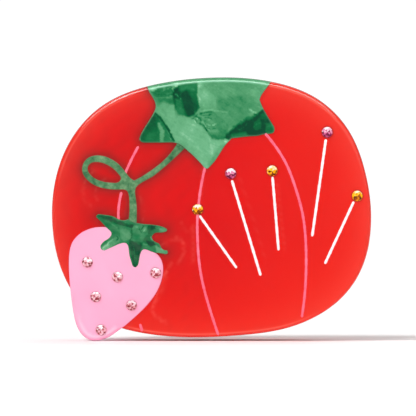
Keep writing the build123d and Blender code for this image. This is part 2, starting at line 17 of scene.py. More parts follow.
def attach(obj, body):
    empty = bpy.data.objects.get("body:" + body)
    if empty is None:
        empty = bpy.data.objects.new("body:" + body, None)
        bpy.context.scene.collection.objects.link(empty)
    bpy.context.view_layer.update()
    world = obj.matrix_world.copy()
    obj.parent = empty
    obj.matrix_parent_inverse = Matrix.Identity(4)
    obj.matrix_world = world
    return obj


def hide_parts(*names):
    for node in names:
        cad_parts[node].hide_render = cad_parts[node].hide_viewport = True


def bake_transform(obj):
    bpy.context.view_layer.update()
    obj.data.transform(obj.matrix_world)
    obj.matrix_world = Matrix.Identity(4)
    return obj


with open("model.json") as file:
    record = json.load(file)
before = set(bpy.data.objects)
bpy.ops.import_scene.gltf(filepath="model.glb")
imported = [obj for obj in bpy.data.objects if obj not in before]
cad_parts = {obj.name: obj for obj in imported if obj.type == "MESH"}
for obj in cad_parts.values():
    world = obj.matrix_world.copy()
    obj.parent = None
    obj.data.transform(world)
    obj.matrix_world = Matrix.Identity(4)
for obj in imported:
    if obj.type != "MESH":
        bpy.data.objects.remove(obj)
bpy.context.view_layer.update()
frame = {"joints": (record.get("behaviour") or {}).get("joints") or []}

random.seed(7)
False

# ---------------------------------------------------------------- shared sizes (mm)
MM = 0.001
PLATE_THICK, EDGE_RADIUS = 3.8, 1.05
PROUD = 0.12                              # leaf and strawberry stand this far above the plate
HINGE_UP, HINGE_GAP = 9.95, 13.0          # hinge axis: up the plate, and behind its back
TILT = math.radians(7.0)
SIN, COS = math.sin(TILT), math.cos(TILT)
BACK = -PLATE_THICK                       # z of the plate's back face
AXIS_OUT = BACK - HINGE_GAP
HINGE_Z = frame["joints"][0]["pos_m"][2] * 1000.0
# world place of the plate frame's origin
ORIGIN_Y = HINGE_UP * SIN + AXIS_OUT * COS
ORIGIN_Z = HINGE_Z - HINGE_UP * COS + AXIS_OUT * SIN


# ---------------------------------------------------------------- outlines (mm, plate frame)
def points(text):
    """Points written as "x,y x,y"."""
    return [tuple(map(float, pair.split(","))) for pair in text.split()]


def paths(text):
    """Lists of points, parted by slashes."""
    return [points(path) for path in text.split("/")]


def rows(text):
    """Rows parted by slashes: plain numbers first, then a list of points."""
    table = []
    for row in text.split("/"):
        words = row.split()
        numbers = [float(word) for word in words if "," not in word]
        table.append(numbers + [points(" ".join(word for word in words if "," in word))])
    return table


PLATE_OUTLINE = points("""
-44.98,-1.6 -44.58,4.48 -43.37,10.44 -41.26,16.14 -38.21,21.4 -34.27,26.03 -29.48,29.76
-24.04,32.48 -18.25,34.36 -12.3,35.63 -6.27,36.45 -0.2,36.86 5.89,36.91 11.96,36.5
17.96,35.52 23.81,33.85 29.31,31.26 34.14,27.57 38.09,22.95 41,17.62 43,11.87
44.35,5.94 45.06,-0.1 45.03,-6.19 44.14,-12.2 42.17,-17.95 38.99,-23.13 34.77,-27.42
29.77,-30.76 24.24,-33.24 18.38,-34.86 12.36,-35.79 6.3,-36.34 0.22,-36.69 -5.86,-36.78
-11.94,-36.52 -17.99,-35.82 -23.95,-34.59 -29.66,-32.54 -34.66,-29.19 -38.62,-24.72
-41.57,-19.4 -43.55,-13.65 -44.65,-7.67""")
STRAWBERRY_OUTLINE = points("""
-40.04,-20.34 -40.19,-17.58 -40.21,-14.82 -39.99,-12.07 -39.14,-9.46 -37.36,-7.37
-34.99,-5.98 -32.32,-5.29 -29.56,-5.27 -26.88,-5.9 -24.38,-7.06 -22.07,-8.57
-19.83,-10.19 -17.47,-11.62 -15.13,-13.08 -13.78,-15.43 -13.64,-18.18 -14.19,-20.88
-15.26,-23.42 -16.73,-25.74 -18.46,-27.83 -20.36,-29.76 -22.37,-31.6 -24.45,-33.38
-26.62,-35.09 -28.91,-36.63 -31.49,-37.59 -34.23,-37.54 -36.5,-36.05 -37.94,-33.7
-38.73,-31.1 -39.18,-28.48 -39.53,-25.82 -39.81,-23.09""")
VINE_LOOP_HOLE = points("""
-34.73,11.65 -34.39,10.25 -33.41,9.15 -32.17,8.36 -30.79,7.85 -29.35,7.55 -27.88,7.44
-26.41,7.53 -25.54,8.49 -26.21,9.79 -27.2,10.89 -28.35,11.8 -29.64,12.52 -31.03,13.01
-32.49,13.17 -33.91,12.81""")
# Outlines with corners. Each side runs on to the first point of the next.
CAP_LEAF_SIDES = paths("""
-17.9,34.16 -17.28,32.77 -16.48,31.47 -15.82,30.1 -15.69,28.6 -16.24,27.17
-16.97,25.84 -17.77,24.54 -18.6,23.25 -19.38,21.94 /
-20.05,20.57 -20.11,19.36 /
-19.03,18.73 -17.39,18.73 -15.75,18.72 -14.11,18.73 -12.47,18.78 -10.83,18.78
-9.25,18.38 -7.88,17.47 -6.63,16.41 -5.4,15.32 -4.22,14.18 -3.1,12.98 /
-2.05,11.72 -1.53,11.39 /
-0.92,11.43 0.23,12.59 1.24,13.87 2.14,15.23 3,16.62 3.92,17.97 5.02,19.17 /
5.72,19.92 7.99,20.2 9.62,20.4 11.25,20.53 12.88,20.64 14.46,21.02 /
16.06,21.23 17.64,21.74 /
17.67,23.26 16.89,24.57 16.1,25.87 15.32,27.19 14.58,28.52 /
13.6,30.9 14.37,32.6 15.36,33.92 /
16.26,35.15 / 19.2,39.2 / -20.2,39.2""")
STRAWBERRY_LEAF_SIDES = paths("""
-32.53,-2.32 -32.07,-1.66 /
-31.2,-1.58 -29.58,-1.8 -27.98,-2.09 -26.51,-2.78 -25,-3.29 /
-23.5,-3 -22.2,-3.68 /
-20.84,-4.08 -19.2,-4.32 -17.55,-4.47 -15.9,-4.64 -14.28,-4.97 /
-12.75,-5.6 -12.46,-6.01 /
-12.72,-6.45 -14.2,-6.79 -15.74,-6.91 -16.71,-8 -16.02,-9.27 -14.67,-10.02 -13.94,-11.32 /
-12.52,-11.83 -12.29,-12.62 /
-13.09,-12.96 -14.64,-12.64 -16.21,-12.45 -17.69,-11.9 -19.18,-11.66 -19.99,-12.98
-20.25,-14.54 /
-20.62,-16.07 -21.5,-16.73 /
-22.4,-16.07 -22.84,-14.51 -23.24,-12.93 -23.4,-11.31 -24.05,-9.87 -25.61,-9.95
-27.12,-10.56 -28.6,-11.25 /
-30.07,-11.94 -31.12,-11.54 /
-31.29,-10.41 -30.32,-9.19 -28.99,-8.32 -28.23,-6.98 -29.2,-5.75 -30.29,-4.58
-31.39,-3.43""")
VINE_SIDES = paths("""
-9.81,18.39 -10.64,17.03 -11.6,15.75 -12.66,14.56 -13.81,13.44 -15.03,12.4 -16.3,11.43
-17.61,10.5 -18.94,9.62 -20.31,8.8 /
-21.75,8.09 -23.02,9.05 -24.01,10.31 -24.98,11.59 -26.08,12.75 -27.36,13.7 -28.78,14.45
-30.29,14.98 -31.87,15.2 -33.46,15.02 -34.91,14.36 -35.96,13.18 -36.46,11.66 -36.31,10.08
-35.53,8.69 -34.4,7.56 -33.07,6.68 -31.59,6.05 -30.05,5.65 -28.46,5.43 -26.86,5.35 /
-25.26,5.38 -23.78,4.91 -23.27,3.36 -23.18,1.71 -23.15,0.06 -23.23,-1.59 /
-23.45,-3.23 / -23.3,-5.2 / -20.9,-5.4 /
-20.96,-4.02 -20.92,-2.37 -20.9,-0.73 -20.95,0.91 -21.1,2.55 -21.34,4.18 -21.2,5.8
-20.09,6.98 -18.69,7.84 -17.25,8.62 -15.86,9.5 -14.57,10.53 -13.32,11.6 -12.09,12.68
-10.87,13.79 -9.67,14.91 -8.48,16.05 /
-7.32,17.21 / -6.2,18.4 / -8.9,19.9""")
SEAM_PATHS = paths("""
15.15,21.34 18.04,17.74 21.13,12.68 23.64,6.2 25.8,-1.75 26.7,-10.41 26.67,-20.32
26.16,-26.83 25.57,-30.96 /
-1.6,12.3 -2.9,6.2 -3.5,1.87 -3.89,-2.46 -3.89,-8.24 -3.44,-15.11 -2.48,-20.89
-0.72,-27.54 2.02,-36.05 /
-20.5,17.74 -21.89,15.14 -24.6,9.2 /
-25.3,4.75 -25.8,2.43 -26.16,-0.28 -26.02,-4.2 /
-20.16,-32.77 -19.52,-34.95""")
# head and engraved tip of each pin
PIN_ENDS = paths("""
-3.33,-1.92 7,-16.64 / 5.79,8.12 13.88,-18.76 / 17.25,9.11 18.98,-11.55 /
32.28,19.73 28.51,-7.58 / 40.2,2.04 32.19,-15.42""")
AMBER_CENTRES = points("-3.83,-0.2 17.16,10.78 41.16,3.65")
ROSE_CENTRES = points("5.48,9.99 32.64,21.71")
SEED_CENTRES = points("""
-34.96,-15.2 -26.5,-19.39 -15.69,-18.25 -32.64,-25.05 -22.54,-27.48 -31.14,-34.5""")
HEADS = AMBER_CENTRES + ROSE_CENTRES


# ---------------------------------------------------------------- plane curves
def along(line):
    """Distance travelled at each point of a polyline."""
    return np.concatenate([[0], np.cumsum(np.hypot(*np.diff(line, axis=0).T))])


def cubic(through, closed=False, spacing=0.3):
    """Evenly spaced points on the smooth cubic curve through the given points."""
    knots = np.asarray(through, float)
    if closed:
        knots = np.vstack([knots, knots[:1]])
    if len(knots) == 2:
        steps = max(1, int(round(np.hypot(*(knots[1] - knots[0])) / spacing)))
        part = np.linspace(0, 1, steps + 1)[:, None]
        return knots[0] * (1 - part) + knots[1] * part
    gaps = np.hypot(*np.diff(knots, axis=0).T)
    reach = along(knots)
    slope = np.diff(knots, axis=0) / gaps[:, None]
    last = len(knots) - 1
    system, right = np.zeros((last + 1, last + 1)), np.zeros((last + 1, 2))
    for i in range(1, last):
        system[i, i - 1:i + 2] = gaps[i - 1], 2 * (gaps[i - 1] + gaps[i]), gaps[i]
        right[i] = 6 * (slope[i] - slope[i - 1])
    if closed:
        system[0, 0], system[0, last] = 1, -1
        system[last, 0], system[last, 1] = 2 * (gaps[0] + gaps[-1]), gaps[0]
        system[last, last - 1] = gaps[-1]
        right[last] = 6 * (slope[0] - slope[-1])
    else:
        # ends bend as their neighbours do
        system[0, 0], system[0, 1] = 1, -1
        system[last, last], system[last, last - 1] = 1, -1
    bend = np.linalg.solve(system, right)

    def at(place):
        i = np.clip(np.searchsorted(reach, place, side="right") - 1, 0, last - 1)
        ahead, behind = (reach[i + 1] - place)[:, None], (place - reach[i])[:, None]
        gap = gaps[i][:, None]
        return ((bend[i] * ahead ** 3 + bend[i + 1] * behind ** 3) / (6 * gap)
                + (knots[i] / gap - bend[i] * gap / 6) * ahead
                + (knots[i + 1] / gap - bend[i + 1] * gap / 6) * behind)

    fine = np.linspace(0, reach[-1], 60 * (last + 1))
    travel = along(at(fine))
    steps = max(2, int(round(travel[-1] / spacing)))
    curve = at(np.interp(np.linspace(0, travel[-1], steps + 1), travel, fine))
    return curve[:-1] if closed else curve


def sided(sides, spacing):
    """Outline made of smooth sides that meet at corners."""
    following = sides[1:] + sides[:1]
    return np.vstack([cubic(side + after[:1], False, spacing)[:-1]
                      for side, after in zip(sides, following)])


def circle(centre, radius, count=32):
    turn = np.arange(count) * 2 * math.pi / count
    return np.stack([centre[0] + radius * np.cos(turn), centre[1] + radius * np.sin(turn)], 1)


def polar(x, y, radius, degrees):
    angle = math.radians(degrees)
    return x + radius * math.cos(angle), y + radius * math.sin(angle)


def arc(x, y, radius, start, end, steps):
    return [polar(x, y, radius, start + (end - start) * i / steps) for i in range(steps + 1)]


def inside(loop, plane):
    x, y = plane[:, 0], plane[:, 1]
    result = np.zeros(len(plane), bool)
    for (x0, y0), (x1, y1) in zip(loop, np.roll(loop, -1, axis=0)):
        if y0 == y1:
            continue
        crossed = (y0 > y) != (y1 > y)
        result ^= crossed & (x < (x1 - x0) * (y - y0) / (y1 - y0) + x0)
    return result


def distance(line, plane, closed=True):
    """Distance from each point to a polyline, worked out in batches to save memory."""
    start = line if closed else line[:-1]
    step = (np.roll(line, -1, axis=0) if closed else line[1:]) - start
    squared = np.maximum((step ** 2).sum(1), 1e-12)
    result = np.empty(len(plane))
    batch = 4000
    for k in range(0, len(plane), batch):
        offset = plane[k:k + batch][:, None, :] - start[None]
        part = np.clip((offset * step[None]).sum(2) / squared, 0, 1)
        away = offset - part[..., None] * step[None]
        result[k:k + batch] = np.sqrt((away ** 2).sum(2).min(1))
    return result


def nearest(plane, *loops):
    return np.minimum.reduce([distance(loop, plane) for loop in loops])


def beyond(loop, plane):
    """Distance outside a closed outline, negative inside it."""
    gap = distance(loop, plane)
    return np.where(inside(loop, plane), -gap, gap)


def from_point(plane, centre):
    return np.hypot(*(plane - centre).T)


def ccw(loop):
    x, y = loop[:, 0], loop[:, 1]
    return loop if (x * np.roll(y, -1) - y * np.roll(x, -1)).sum() > 0 else loop[::-1]


def respaced(corners, step):
    """Closed outline resampled at an even step, anticlockwise."""
    line = np.vstack([corners, corners[:1]])
    travel = along(line)
    place = np.linspace(0, travel[-1], int(travel[-1] / step), endpoint=False)
    return ccw(np.stack([np.interp(place, travel, line[:, i]) for i in (0, 1)], 1))


def rings(loop, gaps, inward=True):
    """Points at set distances to one side of an outline, without those that fold at corners."""
    loop = ccw(loop)
    run = np.roll(loop, -1, axis=0) - np.roll(loop, 1, axis=0)
    run /= np.maximum(np.hypot(*run.T), 1e-9)[:, None]
    normal = np.stack([-run[:, 1], run[:, 0]], 1) * (1 if inward else -1)
    result = []
    for k, gap in enumerate(gaps):
        ring = loop + normal * gap
        if k % 2:
            ring = (ring + np.roll(ring, -1, axis=0)) / 2
        result.append(ring[distance(loop, ring) > gap * 0.93])
    return np.vstack(result)


# ---------------------------------------------------------------- height and tone profiles
def smooth01(value):
    value = np.clip(value, 0, 1)
    return value * value * (3 - 2 * value)


def bell(gap, width, power=2):
    return np.exp(-(gap / width) ** power)


def spot(plane, centre, squared_radius):
    return np.exp(-((plane - np.array(centre)) ** 2).sum(1) / squared_radius)


def drop(gap, radius):
    """How far a rounded edge falls below the face, at a distance from the edge."""
    part = np.clip(np.asarray(gap) / radius, 0, 1)
    return radius * (1 - np.sqrt(np.maximum(0, 1 - (1 - part) ** 2)))


def round_steps(radius):
    """Distances from the edge that sample a rounded edge at even angles."""
    return [radius * (1 - math.cos(math.radians(angle))) for angle in (18, 36, 54, 72, 90)]


def ripple(plane, seed, scale, amount):
    """Smooth random height, in mm, from nine plane waves."""
    rng = np.random.RandomState(seed)
    height = np.zeros(len(plane))
    for _ in range(9):
        heading = rng.uniform(0, 2 * math.pi)
        rate = 2 * math.pi / (scale * rng.uniform(0.7, 1.8))
        height += np.sin(plane[:, 0] * math.cos(heading) * rate
                         + plane[:, 1] * math.sin(heading) * rate + rng.uniform(0, 6.28)) / 3
    return height * amount


# ---------------------------------------------------------------- mesh builders
def hexgrid(low, high, pitch):
    lines = []
    y, k = low[1], 0
    while y <= high[1]:
        across = np.arange(low[0] + (pitch / 2 if k % 2 else 0), high[0], pitch)
        lines.append(np.stack([across, np.full(len(across), y)], 1))
        y += pitch * 0.866
        k += 1
    return np.vstack(lines)


def thinned(extra, cell=0.055):
    """One point for each small square."""
    taken, kept = set(), []
    for spot_at in extra:
        key = (int(spot_at[0] / cell), int(spot_at[1] / cell))
        if key not in taken:
            taken.add(key)
            kept.append(spot_at)
    return np.array(kept)


def uncrowded(grid, extra, cell):
    """The grid points that lie at least a cell away from every extra point."""
    def square(place):
        return int(math.floor(place[0] / cell)), int(math.floor(place[1] / cell))

    busy = {}
    for place in extra:
        busy.setdefault(square(place), []).append(place)
    kept = []
    for place in grid:
        i, j = square(place)
        if not any((place[0] - other[0]) ** 2 + (place[1] - other[1]) ** 2 < cell * cell
                   for di in (-1, 0, 1) for dj in (-1, 0, 1)
                   for other in busy.get((i + di, j + dj), ())):
            kept.append(place)
    return kept


def triangulate(loops, extra, region, pitch, clear):
    """Triangles that fill a region: outlines kept as edges, extra points and an even grid."""
    low = np.min([loop.min(0) for loop in loops], axis=0)
    high = np.max([loop.max(0) for loop in loops], axis=0)
    grid = hexgrid(low, high, pitch)
    grid = grid[region(grid)]
    grid = grid[nearest(grid, *loops) > clear]
    extra = extra[region(extra)]
    extra = thinned(extra[nearest(extra, *loops) > 0.012])
    grid = uncrowded(grid, extra, pitch * 0.55)
    verts, edges = [], []
    for loop in loops:
        base, count = len(verts), len(loop)
        verts += [Vector(place) for place in loop]
        edges += [(base + i, base + (i + 1) % count) for i in range(count)]
    verts += [Vector(place) for place in extra] + [Vector(place) for place in grid]
    verts, _, tris, _, _, _ = delaunay_2d_cdt(verts, edges, [], 0, 1e-5, False)
    plane = np.array([tuple(place) for place in verts])
    tris = np.array([tuple(tri) for tri in tris], int)
    tris = tris[region(plane[tris].mean(1))]
    one, two, three = plane[tris[:, 0]], plane[tris[:, 1]], plane[tris[:, 2]]
    area = ((two[:, 0] - one[:, 0]) * (three[:, 1] - one[:, 1])
            - (two[:, 1] - one[:, 1]) * (three[:, 0] - one[:, 0]))
    tris = np.where(area[:, None] < 0, tris[:, ::-1], tris)
    tris = tris[np.abs(area) > 1e-9]
    used = np.unique(tris)
    index = -np.ones(len(plane), int)
    index[used] = np.arange(len(used))
    return plane[used], index[tris]


def front_place(x, y, z):
    """World place, in metres, of a point in the front plate frame."""
    return np.stack([x, ORIGIN_Y - y * SIN - z * COS, ORIGIN_Z + y * COS - z * SIN], 1) * MM


def closed_slab(plane, tris, top, bottom, place=front_place, walls=1):
    """Closed solid between two height surfaces over the same triangles.

    Returns its 3-D points, its faces, and where each point lies in the plane.
    """
    count = len(plane)
    edges = np.vstack([tris[:, [0, 1]], tris[:, [1, 2]], tris[:, [2, 0]]]).tolist()
    edges = dict.fromkeys(map(tuple, edges))
    rim = [(a, b) for a, b in edges if (b, a) not in edges]
    faces = tris.tolist() + (tris[:, ::-1] + count).tolist()
    solid = [place(*plane.T, top), place(*plane.T, bottom)]
    flat = [plane, plane]
    rim_ids = np.unique(rim)
    upper = {i: i for i in rim_ids}
    total = 2 * count
    for k in range(1, walls):
        fall = k / walls
        ring = plane[rim_ids]
        solid.append(place(*ring.T, top[rim_ids] * (1 - fall) + bottom[rim_ids] * fall))
        flat.append(ring)
        lower = {i: total + j for j, i in enumerate(rim_ids)}
        total += len(rim_ids)
        faces += [(upper[b], upper[a], lower[a], lower[b]) for a, b in rim]
        upper = lower
    faces += [(upper[b], upper[a], a + count, b + count) for a, b in rim]
    return np.vstack(solid), faces, np.vstack(flat)


def joined(parts):
    solids, all_faces, base = [], [], 0
    for solid, faces in parts:
        solids.append(solid)
        all_faces += [tuple(i + base for i in face) for face in faces]
        base += len(solid)
    return np.vstack(solids), all_faces


def mesh_object(name, piece, material, angle, mirror=False):
    """Object from (points, faces, attributes). With no angle it is flat-faced, toned by face."""
    solid, faces, attributes = piece
    solid = np.array(solid, float)
    if mirror:
        solid[:, 1] *= -1
        faces = [tuple(reversed(face)) for face in faces]
    mesh = bpy.data.meshes.new(name)
    mesh.from_pydata([tuple(place) for place in solid], [],
                     [tuple(int(i) for i in face) for face in faces])
    mesh.validate()
    mesh.materials.append(material)
    smooth = angle is not None
    for key, values in attributes.items():
        attribute = mesh.attributes.new(key, "FLOAT", "POINT" if smooth else "FACE")
        attribute.data.foreach_set("value", np.array(values, np.float32))
    mesh.polygons.foreach_set("use_smooth", np.full(len(mesh.polygons), smooth))
    mesh.update()
    if smooth:
        mesh.set_sharp_from_angle(angle=math.radians(angle))
    ob = bpy.data.objects.new(name, mesh)
    bpy.context.scene.collection.objects.link(ob)
    return ob


def jaw_piece(name, side, piece, material, angle=38.0):
    ob = mesh_object(name, piece, material, angle, mirror=side == "rear")
    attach(ob, side + "_jaw")
    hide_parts(name)


# ---------------------------------------------------------------- materials
def srgb(*levels):
    """Linear colour from 0-255 sRGB levels."""
    linear = []
    for level in levels:
        level /= 255.0
        linear.append(level / 12.92 if level <= 0.04045 else ((level + 0.055) / 1.055) ** 2.4)
    return tuple(linear) + (1.0,)


class Shader:
    """Short names for building a node material."""

    def __init__(self, name):
        self.mat = bpy.data.materials.new(name)
        self.mat.use_nodes = True
        self.tree = self.mat.node_tree
        self.bsdf = self.tree.nodes["Principled BSDF"]

    def new(self, kind, **props):
        node = self.tree.nodes.new(kind)
        for key, value in props.items():
            setattr(node, key, value)
        return node

    def set(self, node, key, value):
        if isinstance(value, bpy.types.NodeSocket):
            self.tree.links.new(value, node.inputs[key])
        else:
            node.inputs[key].default_value = value

    def mapping(self, vector, rot=(0, 0, 0), stretch=(1, 1, 1)):
        node = self.new("ShaderNodeMapping")
        node.inputs["Scale"].default_value = stretch
        node.inputs["Rotation"].default_value = rot
        self.set(node, "Vector", vector)
        return node.outputs["Vector"]

    def coords(self, **turn):
        return self.mapping(self.new("ShaderNodeTexCoord").outputs["Object"], **turn)

    def noise(self, vector, scale, detail=4, rough=0.55, distortion=0.0, output="Fac"):
        node = self.new("ShaderNodeTexNoise")
        self.set(node, "Vector", vector)
        self.set(node, "Scale", scale)
        self.set(node, "Detail", detail)
        self.set(node, "Roughness", rough)
        self.set(node, "Distortion", distortion)
        return node.outputs[output]

    def math(self, op, one, two, clamp=False):
        node = self.new("ShaderNodeMath", operation=op, use_clamp=clamp)
        self.set(node, 0, one)
        self.set(node, 1, two)
        return node.outputs[0]

    def attr(self, name):
        return self.new("ShaderNodeAttribute", attribute_name=name).outputs["Fac"]

    def ramp(self, value, stops):
        node = self.new("ShaderNodeValToRGB")
        elements = node.color_ramp.elements
        while len(elements) < len(stops):
            elements.new(0.5)
        for element, (position, colour) in zip(elements, stops):
            element.position = position
            element.color = colour
        self.set(node, "Fac", value)
        return node.outputs["Color"]

    def mix(self, factor, one, two):
        node = self.new("ShaderNodeMix", data_type="RGBA")
        for i, value in ((0, factor), (6, one), (7, two)):
            self.set(node, i, value)
        return node.outputs[2]

    def tint(self, base, mask, strength, colour):
        """Lay a colour over the base where the mask is high."""
        return self.mix(self.math("MULTIPLY", mask, strength, clamp=True), base, colour)

    def vary(self, tone, noise, amount, clamp=False):
        """Shift a tone up and down by a noise."""
        swing = self.math("MULTIPLY", self.math("SUBTRACT", noise, 0.5), amount)
        return self.math("ADD", tone, swing, clamp=clamp)

    def remap(self, value, source, target=(0.0, 1.0)):
        node = self.new("ShaderNodeMapRange")
        for i, entry in enumerate((value, *source, *target)):
            self.set(node, i, entry)
        return node.outputs[0]

    def clouded(self, scale, low, high, detail=3):
        cloud = self.noise(self.coords(), scale, detail, rough=0.5)
        return self.mix(self.remap(cloud, source=(0.3, 0.7)), low, high)

    def bump(self, height, strength, distance):
        node = self.new("ShaderNodeBump")
        self.set(node, "Strength", strength)
        self.set(node, "Distance", distance)
        self.set(node, "Height", height)
        self.put(Normal=node.outputs["Normal"])

    def polish(self, base, spread, scale=900.0, strength=0.05):
        """Hand-polished plastic: softly varying roughness and very fine buffing marks."""
        soft = self.noise(self.coords(), scale=120.0, detail=3)
        marks = self.coords(rot=(0.0, 0.4, 0.0), stretch=(1.0, 1.0, 0.12))
        fine = self.noise(marks, scale, detail=5, rough=0.7)
        wear = self.math("ADD", soft, self.math("MULTIPLY", fine, 0.5))
        self.put(Roughness=self.remap(wear, (0.4, 1.1), (base - spread / 2, base + spread)))
        height = self.math("ADD", self.math("MULTIPLY", soft, 0.6),
                           self.math("MULTIPLY", fine, 0.15))
        self.bump(height, strength, distance=0.0002)

    def put(self, **inputs):
        for key, value in inputs.items():
            self.set(self.bsdf, key.replace("_", " "), value)
        return self.mat


def red_acetate():
    shader = Shader("red_acetate")
    halo, rim = shader.attr("halo"), shader.attr("rim")
    base = shader.clouded(42.0, srgb(209, 5, 9), srgb(216, 8, 10))
    # painted light: the red is warmer and lighter where the warm attribute is high, towards the right
    # and the bottom
    base = shader.mix(shader.attr("warm"), base, srgb(234, 36, 20))
    # painted light: a lighter, more orange red near the rim
    base = shader.tint(base, rim, 0.55, srgb(242, 62, 42))
    # painted shade: a dark halo round the inlays and the stone sockets
    base = shader.tint(base, halo, 1.0, srgb(128, 28, 26))
    glow = shader.attr("glow")
    # painted highlights and painted reflections: paler red where glow is high
    base = shader.tint(base, glow, 1.0, srgb(250, 120, 104))
    # painted shade: darker red where glow is negative
    base = shader.tint(base, glow, -1.0, srgb(150, 0, 4))  # negative glow darkens
    shader.polish(base=0.075, spread=0.04, strength=0.04)
    shine = shader.math("ADD", shader.math("MULTIPLY", rim, 0.25), 0.16, clamp=True)
    return shader.put(Base_Color=base, IOR=1.45, Specular_IOR_Level=shine)


def plain_red():
    """The same red acetate on the combs and lugs, sawn, sanded and tumbled."""
    shader = Shader("red_acetate_tumbled")
    base = shader.clouded(60.0, srgb(202, 20, 19), srgb(220, 30, 25), detail=4)
    shader.polish(base=0.16, spread=0.1, scale=700.0, strength=0.08)
    return shader.put(Base_Color=base, IOR=1.45, Specular_IOR_Level=0.3)


def pink_acetate():
    shader = Shader("pink_acetate")
    base = shader.clouded(55.0, srgb(253, 172, 204), srgb(255, 182, 213))
    # edge: painted shadow round the seed sockets, and a deeper pink along the outline
    base = shader.tint(base, shader.attr("edge"), 0.5, srgb(250, 150, 184))
    # glow: painted highlight just inside the free lower edge
    base = shader.tint(base, shader.attr("glow"), 1.0, srgb(255, 214, 232))
    shader.polish(base=0.12, spread=0.06)
    return shader.put(Base_Color=base, IOR=1.45, Specular_IOR_Level=0.2)


def marble_green(name, vine=False):
    """Pearly marbled acetate: broad tones come from the tone attribute, fine ones from noise."""
    shader = Shader(name)
    tone = shader.attr("tone")
    place = shader.coords()
    bent = shader.new("ShaderNodeVectorMath", operation="MULTIPLY_ADD")
    warp = shader.noise(place, scale=160.0, detail=4, rough=0.6, output="Color")
    for i, value in enumerate((warp, (0.003, 0.003, 0.003), place)):
        shader.set(bent, i, value)
    bent = bent.outputs[0]
    if vine:
        broad = shader.noise(bent, scale=420.0, detail=3, rough=0.6)
        coarse = shader.noise(shader.coords(), scale=950.0, detail=3, rough=0.65)
        tone = shader.vary(tone, broad, 0.8)
        tone = shader.vary(tone, coarse, 1.0, clamp=True)
        stops = [(0.0, srgb(20, 70, 46)), (0.25, srgb(50, 104, 68)), (0.5, srgb(80, 130, 88)),
                 (0.75, srgb(108, 152, 108)), (1.0, srgb(146, 180, 136))]
        edge_colour = srgb(84, 96, 66)
    else:
        slanted = shader.mapping(bent, rot=(0, -0.61, 0))
        slanted = shader.mapping(slanted, stretch=(1.0, 1.0, 3.4))
        streak = shader.noise(slanted, scale=260.0, detail=6, rough=0.62, distortion=0.5)
        fleck = shader.noise(shader.coords(), scale=1500.0, detail=3, rough=0.6)
        tone = shader.vary(tone, streak, 0.30)
        tone = shader.vary(tone, fleck, 0.20, clamp=True)
        stops = [(0.0, srgb(0, 66, 42)), (0.2, srgb(0, 100, 54)), (0.42, srgb(32, 122, 74)),
                 (0.66, srgb(80, 152, 105)), (0.86, srgb(108, 177, 132)),
                 (1.0, srgb(152, 206, 168))]
        edge_colour = srgb(124, 152, 124)
    base = shader.ramp(tone, stops)
    # edge: a painted highlight along the cap leaf's outline; the strawberry leaf turns paler and
    # greyer there, and the vine darker and greyer
    base = shader.tint(base, shader.attr("edge"), 0.55, edge_colour)
    # glow: painted highlight along the polished rim, with more shine there
    base = shader.tint(base, shader.attr("glow"), 1.0, srgb(158, 222, 186))
    shader.polish(base=0.10, spread=0.06)
    shine = shader.math("MULTIPLY", shader.attr("glow"), 0.25)
    shine = shader.math("ADD", shine, 0.10, clamp=True)
    return shader.put(Base_Color=base, IOR=1.45, Specular_IOR_Level=shine)


def enamel(name, low, high):
    """Brushed-in enamel line: a little uneven in colour and thickness."""
    shader = Shader(name)
    wobble = shader.noise(shader.coords(), scale=700.0, detail=4, rough=0.6)
    patch = shader.noise(shader.coords(), scale=180.0, detail=2)
    mixed = shader.remap(shader.math("ADD", wobble, patch), source=(0.7, 1.3))
    shader.bump(wobble, strength=0.15, distance=0.0002)
    return shader.put(Base_Color=shader.mix(mixed, low, high), IOR=1.45,
                      Roughness=shader.remap(wobble, (0.3, 0.7), (0.22, 0.42)))


def crystal(name, shine, *colours):
    """Cut stone, shaded by facet from the darkest colour to the palest."""
    shader = Shader(name)
    grain = shader.noise(shader.coords(), scale=700.0, detail=2)
    tone = shader.vary(shader.attr("tone"), grain, 0.10, clamp=True)
    return shader.put(Base_Color=shader.ramp(tone, [(at, srgb(*rgb)) for at, rgb in colours]),
                      Roughness=shader.remap(grain, (0.3, 0.7), (0.03, 0.08)),
                      IOR=1.6, Specular_IOR_Level=shine)


def steel(name, tint, rough, stretch):
    """Metal with fine lines along the shortened axes of its noise."""
    shader = Shader(name)
    lines = shader.noise(shader.coords(stretch=stretch), scale=2600.0, detail=5, rough=0.7)
    smear = shader.noise(shader.coords(), scale=300.0, detail=3)
    dark = tuple(level * 0.78 for level in tint[:3]) + (1,)
    wear = shader.math("ADD", lines, smear)
    shader.bump(lines, strength=0.12, distance=0.0001)
    return shader.put(Base_Color=shader.mix(shader.remap(smear, (0.35, 0.7)), tint, dark),
                      Roughness=shader.remap(wear, (0.7, 1.3), (rough * 0.6, rough * 1.5)),
                      Metallic=1.0)


